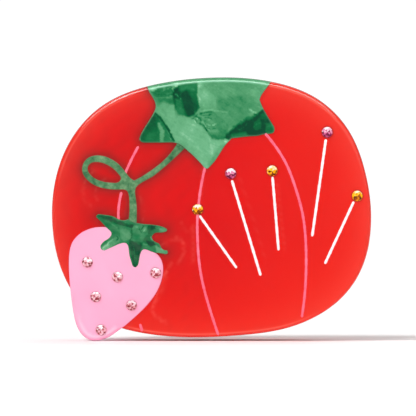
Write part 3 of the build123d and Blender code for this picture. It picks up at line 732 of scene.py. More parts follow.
RED = red_acetate()
RED_PLAIN = plain_red()
PINK = pink_acetate()
GREEN = marble_green("green_marble_acetate")
VINE_GREEN = marble_green("vine_green_acetate", vine=True)
PINK_PAINT = enamel("pink_enamel", low=srgb(244, 92, 120), high=srgb(252, 116, 140))
WHITE_PAINT = enamel("white_enamel", low=srgb(240, 236, 240), high=srgb(252, 249, 253))
AMBER = crystal("amber_crystal", 0.10, (0.0, (92, 30, 0)), (0.3, (196, 96, 0)),
                (0.5, (246, 158, 0)), (0.74, (255, 188, 0)), (0.88, (255, 206, 60)),
                (1.0, (255, 234, 216)))
ROSE = crystal("rose_crystal", 0.12, (0.0, (96, 6, 44)), (0.3, (150, 30, 84)),
               (0.5, (202, 78, 128)), (0.74, (232, 136, 176)), (0.88, (248, 190, 210)),
               (1.0, (255, 238, 244)))
PALE = crystal("pale_crystal", 0.05, (0.0, (120, 30, 40)), (0.25, (176, 80, 90)),
               (0.5, (224, 150, 162)), (0.74, (242, 196, 206)), (0.88, (248, 222, 230)),
               (1.0, (255, 255, 255)))
NICKEL = steel("hinge_steel", (0.80, 0.79, 0.77, 1), rough=0.16, stretch=(1.0, 0.06, 0.06))
SPRING = steel("spring_steel", (0.62, 0.62, 0.63, 1), rough=0.24, stretch=(0.05, 1.0, 1.0))

# ---------------------------------------------------------------- marbling (mm, plate frame)
# Sheets of colour: tone, softness of the edge, change of tone per mm along x and y, outline
LEAF_PATCHES = rows("""
0.56 1.5 0 0 1.91,31.19 10.97,32.32 14.65,28.64 10.69,27.23 8.14,24.68 4.18,22.13 2.48,22.7
    1.91,24.68 5.31,25.81 3.61,27.23 1.35,27.79 /
0.46 0.5 -0.03 -0.03 -17.33,33.17 -10.82,34.02 -10.26,31.19 -9.69,25.81 -11.67,26.09
    -15.07,28.64 /
0.46 0.9 0.02 0 -15.91,32.74 -11.1,32.89 -10.82,30.9 -14.5,30.48 /
0.86 0.3 0 0 -17.33,34.02 -14.5,34.81 -14.16,34.07 -16.76,33.23 /
0.36 0.3 0 0 -14.08,34.87 -11.39,35.38 -10.96,34.36 -13.65,33.79 -15.35,32.94 -16.76,33 /
0.17 0.8 0.03 0 -10.82,33.73 -9.26,34.87 -4.31,35.77 -3.92,34.58 -4.09,31.75 -3.89,28.92
    -4.74,27.23 -6.01,25.98 -7.99,26.43 -9.69,28.07 -10.54,30.9 /
0.44 1 0 0 -9.12,34.87 -4.17,35.6 -4.45,33.31 -6.86,33.73 -8.56,32.32 /
0.36 0.9 0.02 0 -10.4,31.19 -8.27,30.9 -7.14,28.64 -6.58,26.52 -9.26,26.66 -10.03,28.64 /
0.18 0.7 0 0.02 -6.01,33.17 -3.89,33.73 -3.89,30.62 -3.24,28.64 -4.31,27.37 -5.16,29.49 /
0 1.4 0 0 -8.56,33.17 -6.86,33.45 -5.16,29.77 -4.74,26.66 -6.63,26.24 -7.71,29.21 /
0.96 0.22 0 0 -10.48,35.38 -9.18,35.66 -9.07,34.98 -10.2,34.36 /
0.55 0.8 0 0.02 -3.46,27.23 0.22,27.74 4.74,27.23 5.45,25.81 4.89,23.26 4.18,21.57 2.2,22.13
    -0.35,22.13 -2.05,24.11 -3.18,25.24 /
0.5 0.9 0 0 -0.63,21.85 4.18,22.13 5.45,21 4.46,19.73 0.78,19.44 /
0.73 0.6 0.004 -0.004 -15.91,27.45 -14.92,29.21 -13.37,30.06 -10.4,29.49 -9.75,25.75
    -7.71,25.95 -5.44,25.53 -3.18,23.83 -0.63,21 0.22,19.73 4.18,19.73 5.45,19.73 5.31,17.6
    -0.92,10.81 -3.18,12.51 -7.71,17.6 -8.84,19.02 -10.2,19.44 -11.67,22.13 -14.22,25.53 /
0.66 0.9 0 0 4.74,18.74 2.48,15.62 -0.35,11.66 -0.92,13.08 2.2,17.6 /
0.3 0.22 0.03 -0.02 -15.77,27.34 -14.16,25.58 -11.61,22.19 -10.26,19.3 -10.54,18.17
    -19.88,18.45 -20.16,20.43 /
0.68 0.5 0 0 -15.12,24.68 -14.5,24.45 -13.31,22.13 -13.03,19.02 -14.36,18.88 -14.5,21.28
    -15.01,23.26 /
0.38 0.6 0 0 -13.09,21.99 -11.67,21.28 -10.82,19.02 -13.37,19.02 /
0.33 0.8 0 0 -18.46,21 -14.78,22.13 -14.5,19.58 -18.46,18.96 /
0.02 1.6 0 -0.03 4.89,21.23 7.01,23.26 10.4,25.24 13.23,26.8 14.93,28.22 16.63,25.53
    18.61,21.85 18.33,20.72 10.97,20.15 5.73,19.44 /
0.3 1 0.02 0 14.93,24.68 17.48,24.4 18.55,21.28 15.55,20.83 /
0.2 0.8 0 0 13.52,27.23 14.65,28.02 16.35,25.53 15.21,24.68 13.8,25.53 /
0.34 0.9 0 0 5.31,21 9.84,21.68 10.26,20.38 5.88,19.44 /
0.22 0.5 0 0 11.82,24.68 13.8,25.81 14.22,22.7 12.39,22.13 /
0.12 0.3 0 0 4.12,21.06 5.65,21.34 5.54,20.09 4.74,19.44 3.95,20.09""")
CALYX_PATCHES = rows("""
0.34 0.4 0.02 0 -32.78,-2.21 -30.75,-1.6 -28.33,-2.21 -22.87,-4.43 -22.47,-5.44
    -22.87,-8.88 -26.31,-8.07 -27.42,-6.86 -29.95,-4.63 /
0.15 0.35 0 0 -32.17,-1.8 -28.33,-2.21 -26.31,-3.22 -23.07,-4.53 -22.77,-5.44 -26.31,-4.43
    -29.95,-2.91 /
0.45 0.5 0 0 -26.31,-5.85 -23.07,-6.05 -23.07,-8.57 -24.69,-9.28 -25.9,-7.87 /
0.56 0.45 -0.03 -0.03 -31.16,-11.3 -29.34,-9.48 -26.51,-7.56 -25.4,-9.08 -27.52,-10.49
    -30.35,-12.11 /
0.42 0.4 0 0.03 -22.06,-4.67 -19.84,-4.43 -17.51,-6.05 -18.12,-8.07 -19.84,-9.59
    -21.86,-8.47 -22.3,-6.45 /
0 0.25 0 0 -23.17,-4.43 -22.06,-4.27 -22.18,-5.64 -22.87,-5.64 /
0.3 0.4 0.05 0 -17.82,-4.67 -15.8,-4.53 -12.06,-5.74 -12.16,-6.65 -15.8,-7.26 -17.92,-7.26 /
0.48 0.5 0 0 -14.79,-5.24 -12.06,-5.74 -12.16,-6.65 -14.58,-6.86 /
0.1 0.3 0 0 -17.11,-4.67 -15.8,-4.67 -15.8,-5.81 -17.01,-6.05 /
0.22 0.5 0 0 -18.42,-7.46 -16.81,-7.26 -16.81,-8.88 -18.22,-9.89 -19.43,-9.48 /
0.34 0.4 0 0 -17.82,-9.08 -15.49,-9.79 -11.85,-12.31 -12.46,-13.32 -14.99,-12.72
    -18.02,-11.51 /
0.56 0.5 0 0 -15.8,-10.29 -12.46,-11.91 -12.26,-13.12 -15.49,-12.31 /
0.05 0.35 0 0 -18.12,-8.98 -16.1,-9.38 -15.8,-10.29 -17.41,-10.8 -18.22,-9.89 /
0.36 0.5 0 0 -19.43,-9.89 -17.82,-10.29 -17.21,-11.51 -18.83,-10.9 /
0.12 0.4 0 0 -23.23,-8.78 -19.33,-9.79 -19.94,-11.91 -20.65,-15.35 -20.95,-17.57
    -21.56,-17.57 -22.16,-15.35 -22.97,-11.51""")
# Pools of light or dark in the marbling, several of them painted highlights: radius, amount, middle
LEAF_GLOWS = rows("""
2 0.16 -1.48,31.9 / 1.8 0.08 11.82,33.17 / 3.6 0.07 -7.43,22.13 / 2.2 0.05 -11.67,25.81 /
0.8 0.25 -3.18,35.15 / 1.6 0.04 -4.31,23.26 / 2.4 0.05 -0.35,17.04 / 0.9 0.1 -0.35,24.68 /
3 -0.06 8.14,35.15 / 2.5 -0.05 4.46,29.49 / 0.5 0.3 -13.37,34.3 / 1.4 0.12 0.78,22.13 /
0.14 0.3 0.27,27.23 / 0.16 0.42 -3.86,25.47 / 0.15 0.26 -0.63,25.1 / 0.15 0.28 0.84,24 /
0.16 0.34 -1.48,23.49 / 0.13 0.22 -0.58,23.21 / 0.16 0.18 -2.44,25.53 / 0.2 -0.3 -2.9,27 /
0.2 -0.28 -0.35,26.6 / 0.2 -0.22 -1.88,24.68 / 0.22 -0.14 1.35,25.53 /
0.26 -0.14 3.05,24.68 / 0.24 -0.16 4.4,23.83 / 0.12 0.12 -2.16,29.49 /
0.2 0.1 -6.86,32.32 / 0.3 0.12 -8.84,28.64 / 0.2 0.3 -9.8,35.26 / 0.22 0.25 -15.35,33.73 /
0.16 0.22 -14.36,34.02 / 0.18 0.24 3.89,18.45 / 0.14 0.36 15.44,22.13 /
0.2 -0.2 13.52,26.66""")
CALYX_GLOWS = rows("""
0.8 0.08 -19.84,-7.87 / 0.5 0.18 -21.05,-5.24 / 0.9 0.06 -23.88,-7.46 /
0.6 0.1 -29.34,-10.29 / 0.5 0.12 -13.57,-6.05 / 0.6 0.1 -13.98,-11.51 /
0.7 0.06 -24.69,-6.45""")
# Thin creases in the marbling, some with a painted highlight and painted shade along their ridges:
# half width, amount, path
LEAF_CREASES = rows("""
0.22 -0.62 -15.63,26.94 -13.65,24.96 -11.95,22.13 -10.4,19.44 /
0.13 0.16 -15.91,26.66 -14.08,24.54 -12.46,21.99 -11.1,19.44 /
0.22 -0.3 -3.29,26.89 -1.77,27.34 0.27,27.23 / 0.16 -0.16 0.1,26.6 -1.77,26.38 -3.01,26.6 /
0.22 0.16 -2.61,27.74 -0.35,27.96 1.91,27.85 4.46,27.28 /
0.16 0.26 -1.37,24.11 -0.35,23.83 / 0.14 0.3 0.27,23.83 1.35,24.11 /
0.18 -0.34 -4.31,26.09 -3.46,25.81 -3.01,24.79 / 0.16 -0.22 -3.69,24.51 -4.48,25.36 /
0.14 0.34 -4.88,25.64 -4.43,24.91 -3.92,24.45 / 0.2 -0.36 -3.18,24.34 -2.05,23.26 -1.2,22.13 /
0.26 -0.26 -1.37,22.41 -0.49,21 0.1,20.15 / 0.18 0.14 -2.73,24.68 -1.43,23.41 -0.29,21.79 /
0.2 -0.25 -3.89,26.8 -4.65,25.95 -5.44,25.58 /
0.28 0.36 10.69,28.22 11.82,27.57 13.12,26.89 / 0.2 0.16 13.23,28.98 15.07,28.22 /
0.34 -0.35 12.24,26.77 13.52,27.11 14.93,28.02 / 0.16 0.4 -11.1,34.02 -10.59,33.23 /
0.17 0.42 -10.03,32.66 -9.24,31.92 -8.5,31.13 /
0.2 -0.12 -10.65,33.73 -10.42,31.19 -10.09,28.64 /
0.3 -0.2 5.31,21.28 7.01,23.12 9.84,24.68 / 0.3 -0.12 0.64,20.72 2.48,19.87 3.89,19.92 /
0.2 0.3 3.84,19.08 4.52,18.62 / 0.18 -0.16 -15.91,32.6 -13.65,32.32 -11.1,32.43 /
0.16 0.12 -15.35,31.61 -13.09,31.41 -10.82,31.58 /
0.14 -0.25 14.79,24.68 15.16,22.7 14.93,21.28 /
0.16 -0.18 -2.05,25.53 -0.35,25.64 0.22,24.96 /
0.2 -0.14 -1.48,23.26 -0.35,22.7 1.35,22.98 /
0.26 0.13 -3.66,35.15 -3.41,32.32 -3.52,28.64 / 0.42 -0.16 6.16,23.26 8.42,24.51 10.69,26.09 /
0.14 0.2 7.57,22.13 9.84,23.83 11.54,25.19 / 0.12 0.14 11.54,22.13 12.67,23.83 14.08,24.68 /
0.14 0.12 14.65,22.13 15.78,23.26 17.48,23.83 / 0.3 0.06 -0.63,19.87 0.22,16.47 -0.35,13.08""")
CALYX_CREASES = rows("""
0.12 -0.26 -21.05,-5.81 -20.04,-6.01 -19.39,-6.9 / 0.12 -0.34 -19.19,-4.75 -19.47,-5.89 /
0.13 0.28 -18.55,-5.04 -18.83,-6.29 / 0.13 -0.2 -17.72,-5.04 -18.22,-6.65 /
0.13 0.2 -30.35,-10.9 -29.14,-9.69 -27.72,-8.72 / 0.1 -0.14 -29.95,-11.3 -28.53,-10.09 /
0.14 -0.3 -26.81,-7.87 -26.31,-8.47 -26.51,-9.08 /
0.13 -0.12 -26.51,-4.63 -25.9,-6.05 -26.11,-7.46 /
0.16 -0.24 -22.47,-5.85 -22.51,-7.46 -22.87,-8.88 /
0.1 0.2 -21.86,-10.7 -21.62,-13.53 -21.42,-15.55 /
0.09 0.14 -20.85,-10.7 -20.97,-13.12 -21.13,-15.35 / 0.1 0.12 -22.67,-10.29 -22.26,-13.12 /
0.12 -0.18 -14.99,-10.7 -13.77,-11.51 -12.97,-12.31 / 0.12 0.14 -15.8,-5.44 -13.98,-5.85 /
0.14 0.12 -29.95,-3.42 -27.52,-4.63 -26.51,-5.44 /
0.16 0.12 -22.06,-8.88 -20.24,-9.89 -18.22,-10.29 / 0.12 0.4 -17.01,-7.87 -16.6,-8.88""")
# Faint polishing ripples beside the inlays, painted as pale lines of reflected light, and as painted
# shade where the amount is negative: half width, amount, path
PAINTED_RIPPLE_LIGHT_AND_SHADE = rows("""
0.35 0.5 -12.35,-17.4 -14.7,-21.62 -15.64,-25.36 -16.57,-28.64 -15.07,-31.07 -12.81,-32.4 /
0.3 0.28 -11.11,-15.23 -13.37,-20.32 -14.5,-24.85 /
0.35 0.35 -9.98,-7.87 -7.99,-10.13 -7.71,-12.4 -9.41,-15.23 /
0.3 0.25 -8.56,-3.91 -7.15,-6.17 -5.45,-5.89 / 0.5 0.25 -5.16,-5.04 -5.02,-10.41 -5.16,-15.23 /
0.3 0.22 -2.33,13.64 -2.76,5.15 -3.47,0.91 / 0.28 0.2 18.61,7.98 19.74,-3.34 20.87,-11.83 /
0.28 0.14 8.14,8.55 11.53,-1.92 15.49,-15.23 /
0.35 0.22 -32.62,10.81 -35.45,7.98 -36.01,3.45 -33.75,0.62 /
0.3 0.18 -29.79,8.55 -32.62,5.15 -32.05,2.32 / 0.25 0.25 -22.99,3.45 -22.71,0.62 -22.99,-2.77 /
0.3 0.2 -20.16,3.45 -19.31,0.62 -19.31,-3.34 / 0.3 0.22 -14.5,-10.7 -9.98,-9 -7.15,-10.13 /
0.3 0.16 -30.35,14.21 -28.09,12.51 / 0.4 -0.35 -9.98,18.73 -11.67,14.77 -14.5,11.94 /
0.5 -0.5 -9.41,16.47 -11.67,12.51 -15.64,9.11 /
0.5 -0.45 -14.5,18.45 -11.11,18.45 -8.28,17.6""")


def marbling(plane, base, patches, glows, creases, seed):
    """Tone of marbled acetate: soft overlapping sheets, pools and creases, slightly wavy. Some pools
    and creases are painted highlights and shade.
    """
    wavy = plane.copy()
    for axis, seeds in ((0, (0, 1, 4)), (1, (2, 3, 5))):
        for step, scale, amount in zip(seeds, (3.4, 1.5, 0.8), (0.10, 0.07, 0.05)):
            # the y waves read the points after their x shift
            if step in (0, 2):
                source, shift = wavy.copy(), 0
            shift = shift + ripple(plane, seed + step, scale, amount)
        wavy[:, axis] = source[:, axis] + shift
    tone = np.full(len(plane), float(base))
    for level, soft, per_x, per_y, outline in patches:
        loop = np.array(outline)
        cover = smooth01(0.5 - beyond(loop, wavy) / soft)
        away = wavy - loop.mean(0)
        tone = tone * (1 - cover) + (level + away[:, 0] * per_x + away[:, 1] * per_y) * cover
    for radius, amount, (centre,) in glows:
        tone += amount * spot(wavy, centre, radius ** 2)
    for width, amount, path in creases:
        tone += amount * bell(distance(cubic(path, False, 0.2), wavy, False), width)
    return np.clip(tone + ripple(plane, seed + 7, 5.0, 0.02) + ripple(plane, seed + 8, 1.8, 0.015),
                   0, 1)


# ---------------------------------------------------------------- plate and inlays
RIM = ccw(cubic(PLATE_OUTLINE, True, 0.42))
BERRY = ccw(cubic(STRAWBERRY_OUTLINE, True, 0.34))
LEAF = ccw(sided(CAP_LEAF_SIDES, 0.32))
CALYX = ccw(sided(STRAWBERRY_LEAF_SIDES, 0.26))
VINE = ccw(sided(VINE_SIDES, 0.28))
HOLE = ccw(cubic(VINE_LOOP_HOLE, True, 0.28))
INLAY_BOTTOM = -1.1        # underside of the calyx and the vine


def socket_dip(plane, centres):
    """Depth of the round sockets that hold the stones."""
    depth = np.zeros(len(plane))
    for centre in centres:
        wall = smooth01((from_point(plane, centre) - 1.45) / 0.10)
        depth = np.maximum(depth, 0.55 * (1 - wall))
    return depth


def socket_rings(centres, *outer):
    radii = (1.40, 1.45, 1.48, 1.51, 1.55, 1.62) + outer
    return [circle(centre, radius) for centre in centres for radius in radii]


def plate_height(plane):
    """Face of the plate, with its distances to the rim, the leaf and the strawberry."""
    to_rim, to_leaf, to_berry = (distance(loop, plane) for loop in (RIM, LEAF, BERRY))
    to_green = nearest(plane, LEAF, CALYX, VINE, HOLE)
    height = -drop(to_rim, EDGE_RADIUS) - drop(to_leaf, 0.12) - drop(to_berry, 0.12)
    # polishing leaves a shallow trough beside each inlay, and a low swell past it
    height -= 0.045 * bell(to_green, 0.9) + 0.03 * bell(to_berry, 1.1)
    height += 0.018 * bell(to_green - 2.6, 0.9) + 0.012 * bell(to_berry - 2.8, 0.9)
    height += ripple(plane, 5, 15.0, 0.010)
    return height, to_rim, to_leaf, to_berry


def plate_halo(flat, unseen):
    """Painted shade: a dark halo that the inlays and sockets cast in the red, stronger on the left."""
    under_vine = inside(VINE, flat) & ~inside(HOLE, flat)
    to_leaf, to_calyx = distance(LEAF, flat), distance(CALYX, flat)
    to_vine = np.where(under_vine, 0, nearest(flat, VINE, HOLE))
    left = smooth01((2.0 - flat[:, 0]) / 7.0)
    shadow = (0.55 * bell(to_leaf, 1.0, 1.3) * (0.35 + 0.65 * left)
              + 0.62 * bell(to_vine, 1.15, 1.4) + 0.50 * bell(to_calyx, 1.4, 1.3))
    to_green = np.minimum(np.minimum(to_leaf, to_vine), to_calyx)
    halo = np.clip(shadow, 0, 0.72) + 0.20 * bell(to_green, 4.8) * left
    halo = halo + 0.05 * left * ripple(flat, 61, 3.2, 0.7)
    # painted shadow round each pin-head socket, on the front face only
    for centre in HEADS:
        halo += np.where(unseen, 0, 0.42 * bell(from_point(flat, centre) - 1.66, 0.20))
    # the back and the side walls get the painted shade at 40%
    return np.where(unseen, halo * 0.4, halo)


def plate_glow(flat, to_rim, unseen):
    """Polishing traces painted as reflected light and, where negative, as shade, and painted
    highlights caught in the polished edge.
    """
    x, y = flat.T
    glow = np.zeros(len(flat))
    for width, amount, path in PAINTED_RIPPLE_LIGHT_AND_SHADE:
        glow += amount * 0.42 * bell(distance(cubic(path), flat, False), width)
    # painted highlight lines: one along the bottom, one at the top right, and a fainter one on the
    # left
    bottom = smooth01((x + 26) / 6) * smooth01((34 - x) / 16) * smooth01((-y - 24) / 5)
    right = smooth01((x - 14) / 3) * smooth01((44 - x) / 14) * smooth01((y - 10) / 8)
    left = smooth01((-20 - x) / 6) * smooth01((y - 6) / 8)
    glow += bell(to_rim - 0.95, 0.24) * (0.55 * bottom + 0.55 * right + 0.35 * left)
    return np.where(unseen, 0, glow)


def build_plate():
    def region(plane):
        return inside(RIM, plane) & ~inside(LEAF, plane) & ~inside(BERRY, plane)

    cut, let_in = [0.04, 0.10, 0.2, 0.45, 0.9], [0.0, 0.3, 0.7, 1.2]
    extra = [rings(RIM, round_steps(EDGE_RADIUS) + [1.35, 1.8]),
             rings(LEAF, cut, False), rings(BERRY, cut, False),
             rings(CALYX, let_in, False), rings(VINE, let_in, False), rings(HOLE, let_in[:3])]
    extra += socket_rings(HEADS, 1.72, 1.84, 2.0)
    plane, tris = triangulate([RIM, LEAF, BERRY], np.vstack(extra), region, 0.95, 0.35)
    height, to_rim, to_leaf, to_berry = plate_height(plane)
    bottom = (BACK + drop(to_rim, EDGE_RADIUS) + drop(to_leaf, 0.1) + drop(to_berry, 0.1)
              + ripple(plane, 8, 22.0, 0.006))
    solid, faces, flat = closed_slab(plane, tris, height - socket_dip(plane, HEADS), bottom,
                                     walls=3)
    x, y = flat.T
    unseen = np.arange(len(solid)) >= len(plane)      # the back and the side walls
    to_rim = distance(RIM, flat)
    # painted light: the red is painted warmer and lighter towards the right and the bottom, where
    # light comes in
    warm = (smooth01((x + 6) / 52) * 0.55 + smooth01((-y - 6) / 34) * 0.45
            + smooth01((y - 10) / 30) * 0.2 * smooth01((x - 5) / 30))
    # halo is painted shade; rim is painted light, a lighter red near the edge, and more shine there;
    # glow holds painted highlights and painted reflections
    return solid, faces, dict(halo=plate_halo(flat, unseen),
                              rim=bell(to_rim, 1.4, 1) * 0.6 + 0.35 * bell(to_rim, 6.0),
                              warm=np.clip(warm, 0, 1), glow=plate_glow(flat, to_rim, unseen))


def build_leaf():
    def region(plane):
        return inside(RIM, plane) & inside(LEAF, plane)

    extra = [rings(LEAF, [0.05, 0.12, 0.22, 0.4]),
             rings(RIM, round_steps(EDGE_RADIUS) + [1.35])]
    plane, tris = triangulate([RIM, LEAF], np.vstack(extra), region, 0.36, 0.16)
    to_rim, to_own = distance(RIM, plane), distance(LEAF, plane)
    top = PROUD - drop(to_rim, EDGE_RADIUS) - drop(to_own, 0.22) + ripple(plane, 12, 9.0, 0.016)
    bottom = BACK + drop(to_rim, EDGE_RADIUS) + drop(to_own, 0.1)
    solid, faces, flat = closed_slab(plane, tris, top, bottom, walls=3)
    tone = marbling(flat, 0.66, LEAF_PATCHES, LEAF_GLOWS, LEAF_CREASES, seed=31)
    middle, contrast = 0.62, 1.16
    # edge: painted highlight along the leaf's outline; glow: painted highlight line along the polished
    # top rim
    return solid, faces, dict(tone=np.clip(middle + contrast * (tone - middle), 0, 1),
                              edge=0.9 * bell(distance(LEAF, flat), 0.25),
                              glow=0.85 * bell(distance(RIM, flat) - 0.74, 0.22))


def build_berry():
    extra = [rings(BERRY, [0.04, 0.10, 0.2, 0.34, 0.52, 0.72, 1.0, 1.4])]
    extra += socket_rings(SEED_CENTRES, 1.80)
    plane, tris = triangulate([BERRY], np.vstack(extra), lambda p: inside(BERRY, p), 0.8, 0.3)
    # well rounded where it hangs past the plate, crisper where it is let in
    radius = 0.20 + 0.80 * smooth01((beyond(RIM, plane) + 1.2) / 2.6)
    gap = distance(BERRY, plane)
    top = (PROUD + 0.04 - drop(gap, radius) + ripple(plane, 17, 12.0, 0.012)
           + 0.05 * smooth01(gap / 6.0))
    top -= socket_dip(plane, SEED_CENTRES)
    solid, faces, flat = closed_slab(plane, tris, top, BACK + drop(gap, radius * 0.8), walls=3)
    gap = distance(BERRY, flat)
    free = smooth01((beyond(RIM, flat) + 0.8) / 1.6)
    # light gathers just inside the free lower edge
    glow = 0.7 * bell(gap - 1.3, 0.4) * free * smooth01((-flat[:, 1] - 28) / 7)
    # painted shadow round each seed socket, on the front face only
    ring = np.zeros(len(flat))
    for centre in SEED_CENTRES:
        ring += 0.8 * bell(from_point(flat, centre) - 1.60, 0.16)
    ring[len(plane):] = 0
    # the edge mask: the painted socket shadows, and a deeper pink along the outline and over the free
    # part
    edge = ring + bell(gap, 0.28, 1.5) * (1 - 0.5 * free) + 0.35 * bell(gap, 2.2) * free
    return solid, faces, dict(edge=edge, glow=glow)


def build_calyx():
    plane, tris = triangulate([CALYX], rings(CALYX, [0.05, 0.12, 0.2, 0.32]),
                              lambda p: inside(CALYX, p), 0.30, 0.14)
    top = PROUD + 0.16 - drop(distance(CALYX, plane), 0.24) + ripple(plane, 23, 4.0, 0.012)
    solid, faces, flat = closed_slab(plane, tris, top, np.full(len(plane), INLAY_BOTTOM))
    base, lifted, contrast = 0.36, 0.38, 1.5
    tone = marbling(flat, base, CALYX_PATCHES, CALYX_GLOWS, CALYX_CREASES, seed=41)
    # edge: paler and greyer along the outline, with a greyer mottle over the whole leaf
    edge = (0.35 * bell(distance(CALYX, flat), 0.2)
            + 0.22 * np.clip(0.5 + ripple(flat, 47, 2.4, 0.45), 0, 1))
    return solid, faces, dict(tone=np.clip(lifted + contrast * (tone - base), 0, 1),
                              edge=edge, glow=np.zeros(len(flat)))


def build_vine():
    def region(plane):
        return (inside(VINE, plane) & ~inside(HOLE, plane) & ~inside(LEAF, plane)
                & ~inside(CALYX, plane))

    steps = [0.06, 0.14, 0.26, 0.4]
    extra = np.vstack([rings(VINE, steps), rings(HOLE, steps, False)])
    plane, tris = triangulate([VINE, HOLE, LEAF, CALYX], extra, region, 0.32, 0.14)
    gap = nearest(plane, VINE, HOLE)
    top = 0.10 - drop(gap, 0.32) + 0.02 * smooth01(gap / 0.9) + ripple(plane, 29, 5.0, 0.01)
    solid, faces, flat = closed_slab(plane, tris, top, np.full(len(plane), INLAY_BOTTOM))
    # darker at the left of the loop and beside the cap leaf
    tone = (0.56 + ripple(flat, 51, 4.0, 0.08) + ripple(flat, 52, 1.6, 0.06)
            - 0.22 * spot(flat, (-34.6, 8.6), 9.0) - 0.18 * spot(flat, (-7.4, 17.6), 5.0))
    return solid, faces, dict(tone=tone, edge=0.9 * bell(nearest(flat, VINE, HOLE), 0.26),
                              glow=np.zeros(len(flat)))


# ---------------------------------------------------------------- painted lines
# section of a line: place across in half widths, height above the plate
RIBBON_SECTION = [(-1, -0.30), (-1, -0.03), (-0.8, 0.018), (-0.4, 0.036), (0, 0.042),
                  (0.4, 0.036), (0.8, 0.018), (1, -0.03), (1, -0.30)]


def ribbon(path, width, start_lift=0.0):
    """A brushed line with a slight crown and round ends, sunk into the plate."""
    line = cubic(path, False, 0.22)
    run = np.gradient(line, axis=0)
    run /= np.hypot(*run.T)[:, None]
    normal = np.stack([-run[:, 1], run[:, 0]], 1)
    travel = along(line)
    half = width / 2 * (1 + 0.07 * np.sin(travel * 1.9 + line[0, 0])
                        + 0.05 * np.sin(travel * 4.7 + line[0, 1]))
    for from_end in (travel, travel[-1] - travel):
        part = np.clip(from_end / (width / 2), 0, 1)
        half = half * np.sqrt(np.maximum(1 - (1 - part) ** 2, 0.02))
    plane = np.vstack([line + normal * (half * side)[:, None] for side, _ in RIBBON_SECTION])
    count, columns = len(line), len(RIBBON_SECTION)
    heights = np.repeat([height for _, height in RIBBON_SECTION], count)
    lift = np.tile(start_lift * (1 - smooth01((travel - 0.9) / 0.5)), columns)
    z = plate_height(plane)[0] + heights + np.where(heights > -0.2, lift, 0)
    faces = []
    for j in range(columns):
        here, there = j * count, (j + 1) % columns * count
        faces += [(here + i, here + i + 1, there + i + 1, there + i) for i in range(count - 1)]
    faces.append(tuple(j * count for j in range(columns)))
    faces.append(tuple(j * count + count - 1 for j in reversed(range(columns))))
    return front_place(*plane.T, z), faces


def build_seams():
    # the first seam starts on the raised cap leaf
    return *joined([ribbon(path, 0.80, 0.0 if i else 0.17)
                    for i, path in enumerate(SEAM_PATHS)]), {}


def build_pins():
    lines = []
    for head, tip in PIN_ENDS:
        reach = 1 + 0.32 / math.dist(head, tip)   # the brushed tip overruns the engraved line
        end = tuple(a + (b - a) * reach for a, b in zip(head, tip))
        lines.append(ribbon([head, end], 0.83))
    return *joined(lines), {}


# ---------------------------------------------------------------- crystals
def brilliant(seed, spin, shade):
    """Round brilliant cut: table, stars, kites, upper girdle facets, girdle and pavilion.

    A tone for each facet stands for the light that it sends back, since one side of a cut
    stone flashes and the sides across from it go dark. Shade sets how much tone shifts by place.
    """
    rng = random.Random(seed)
    radius, table, middle = 1.50, 0.92, 1.22
    crown, girdle, depth = 0.46, 0.12, 1.05
    low = 0.02
    high = low + girdle
    verts, faces, tones = [], [], []

    def ring(size, z, count, phase=0):
        for i in range(count):
            angle = 2 * math.pi * (i + phase) / count + spin
            verts.append((size * math.cos(angle), size * math.sin(angle), z))
        return len(verts) - count

    verts.append((rng.uniform(-0.08, 0.08), rng.uniform(-0.08, 0.08), high + crown))
    centre = 0
    tab = ring(table, high + crown, 8)
    mid = ring(middle, high + crown * 0.52, 8, 0.5)
    upper = ring(radius, high, 16)
    lower = ring(radius, low, 16)
    tip = len(verts)
    verts.append((0, 0, low - depth))

    bold = shade > 0.2
    flash = math.radians(72 if bold else 58) + rng.uniform(-0.35, 0.35)
    darks = (flash + 2.2 + rng.uniform(-0.25, 0.25), flash - 2.1 + rng.uniform(-0.25, 0.25))

    def add(facet, tone, spread):
        faces.append(facet)
        tones.append(min(1, max(0, tone + rng.uniform(-spread, spread))))

    def lit(facet, tone, reach):
        x, y, _ = np.mean([verts[i] for i in facet], axis=0)
        angle, out = math.atan2(y, x), math.hypot(x, y)

        def off(heading):
            return abs((angle - heading + math.pi) % (2 * math.pi) - math.pi)

        if off(flash) < reach and (bold or out < 1.28):
            return 0.97
        if min(off(dark) for dark in darks) < (0.30 if bold else 0.22) and out < 1.25:
            return 0.05 if bold else 0.12
        return tone + shade * (y * 0.95 - x * 0.30) / 1.3

    wedges = [0.50, 0.74, 0.14, 0.62, 0.36, 0.78, 0.56, 0.24]   # pavilion seen in the table
    first = rng.randrange(8)
    wide = 0.58 if bold else 0.30
    for i in range(8):
        j = (i + 1) % 8
        side = upper + 2 * i
        after = upper + (2 * i + 2) % 16
        kite = (mid + (i - 1) % 8, side, mid + i, tab + i)
        for facet, tone, reach, spread in (
                ((centre, tab + i, tab + j), wedges[(i + first) % 8], 0.30, 0.06),
                ((tab + i, mid + i, tab + j), 0.66, wide, 0.16),
                (kite, 0.32 if i % 2 else 0.76, wide, 0.14),
                ((mid + i, side, side + 1), 0.46, wide, 0.16),
                ((mid + i, side + 1, after), 0.78, wide, 0.16)):
            add(facet, lit(facet, tone, reach), spread)
    for i in range(16):
        j = (i + 1) % 16
        add((upper + i, lower + i, lower + j, upper + j), 0.62, 0.08)
        add((lower + i, tip, lower + j), 0.35, 0.1)
    return np.array(verts), faces, tones


def build_stones(centres, level, seed, shade):
    stones, tones = [], []
    for k, (x, y) in enumerate(centres):
        spin = math.radians((seed * 7 + k * 13) % 45)
        verts, faces, own_tones = brilliant(seed * 31 + k, spin, shade)
        stones.append((front_place(x + verts[:, 0], y + verts[:, 1], verts[:, 2] + level), faces))
        tones += own_tones
    return *joined(stones), dict(tone=tones)


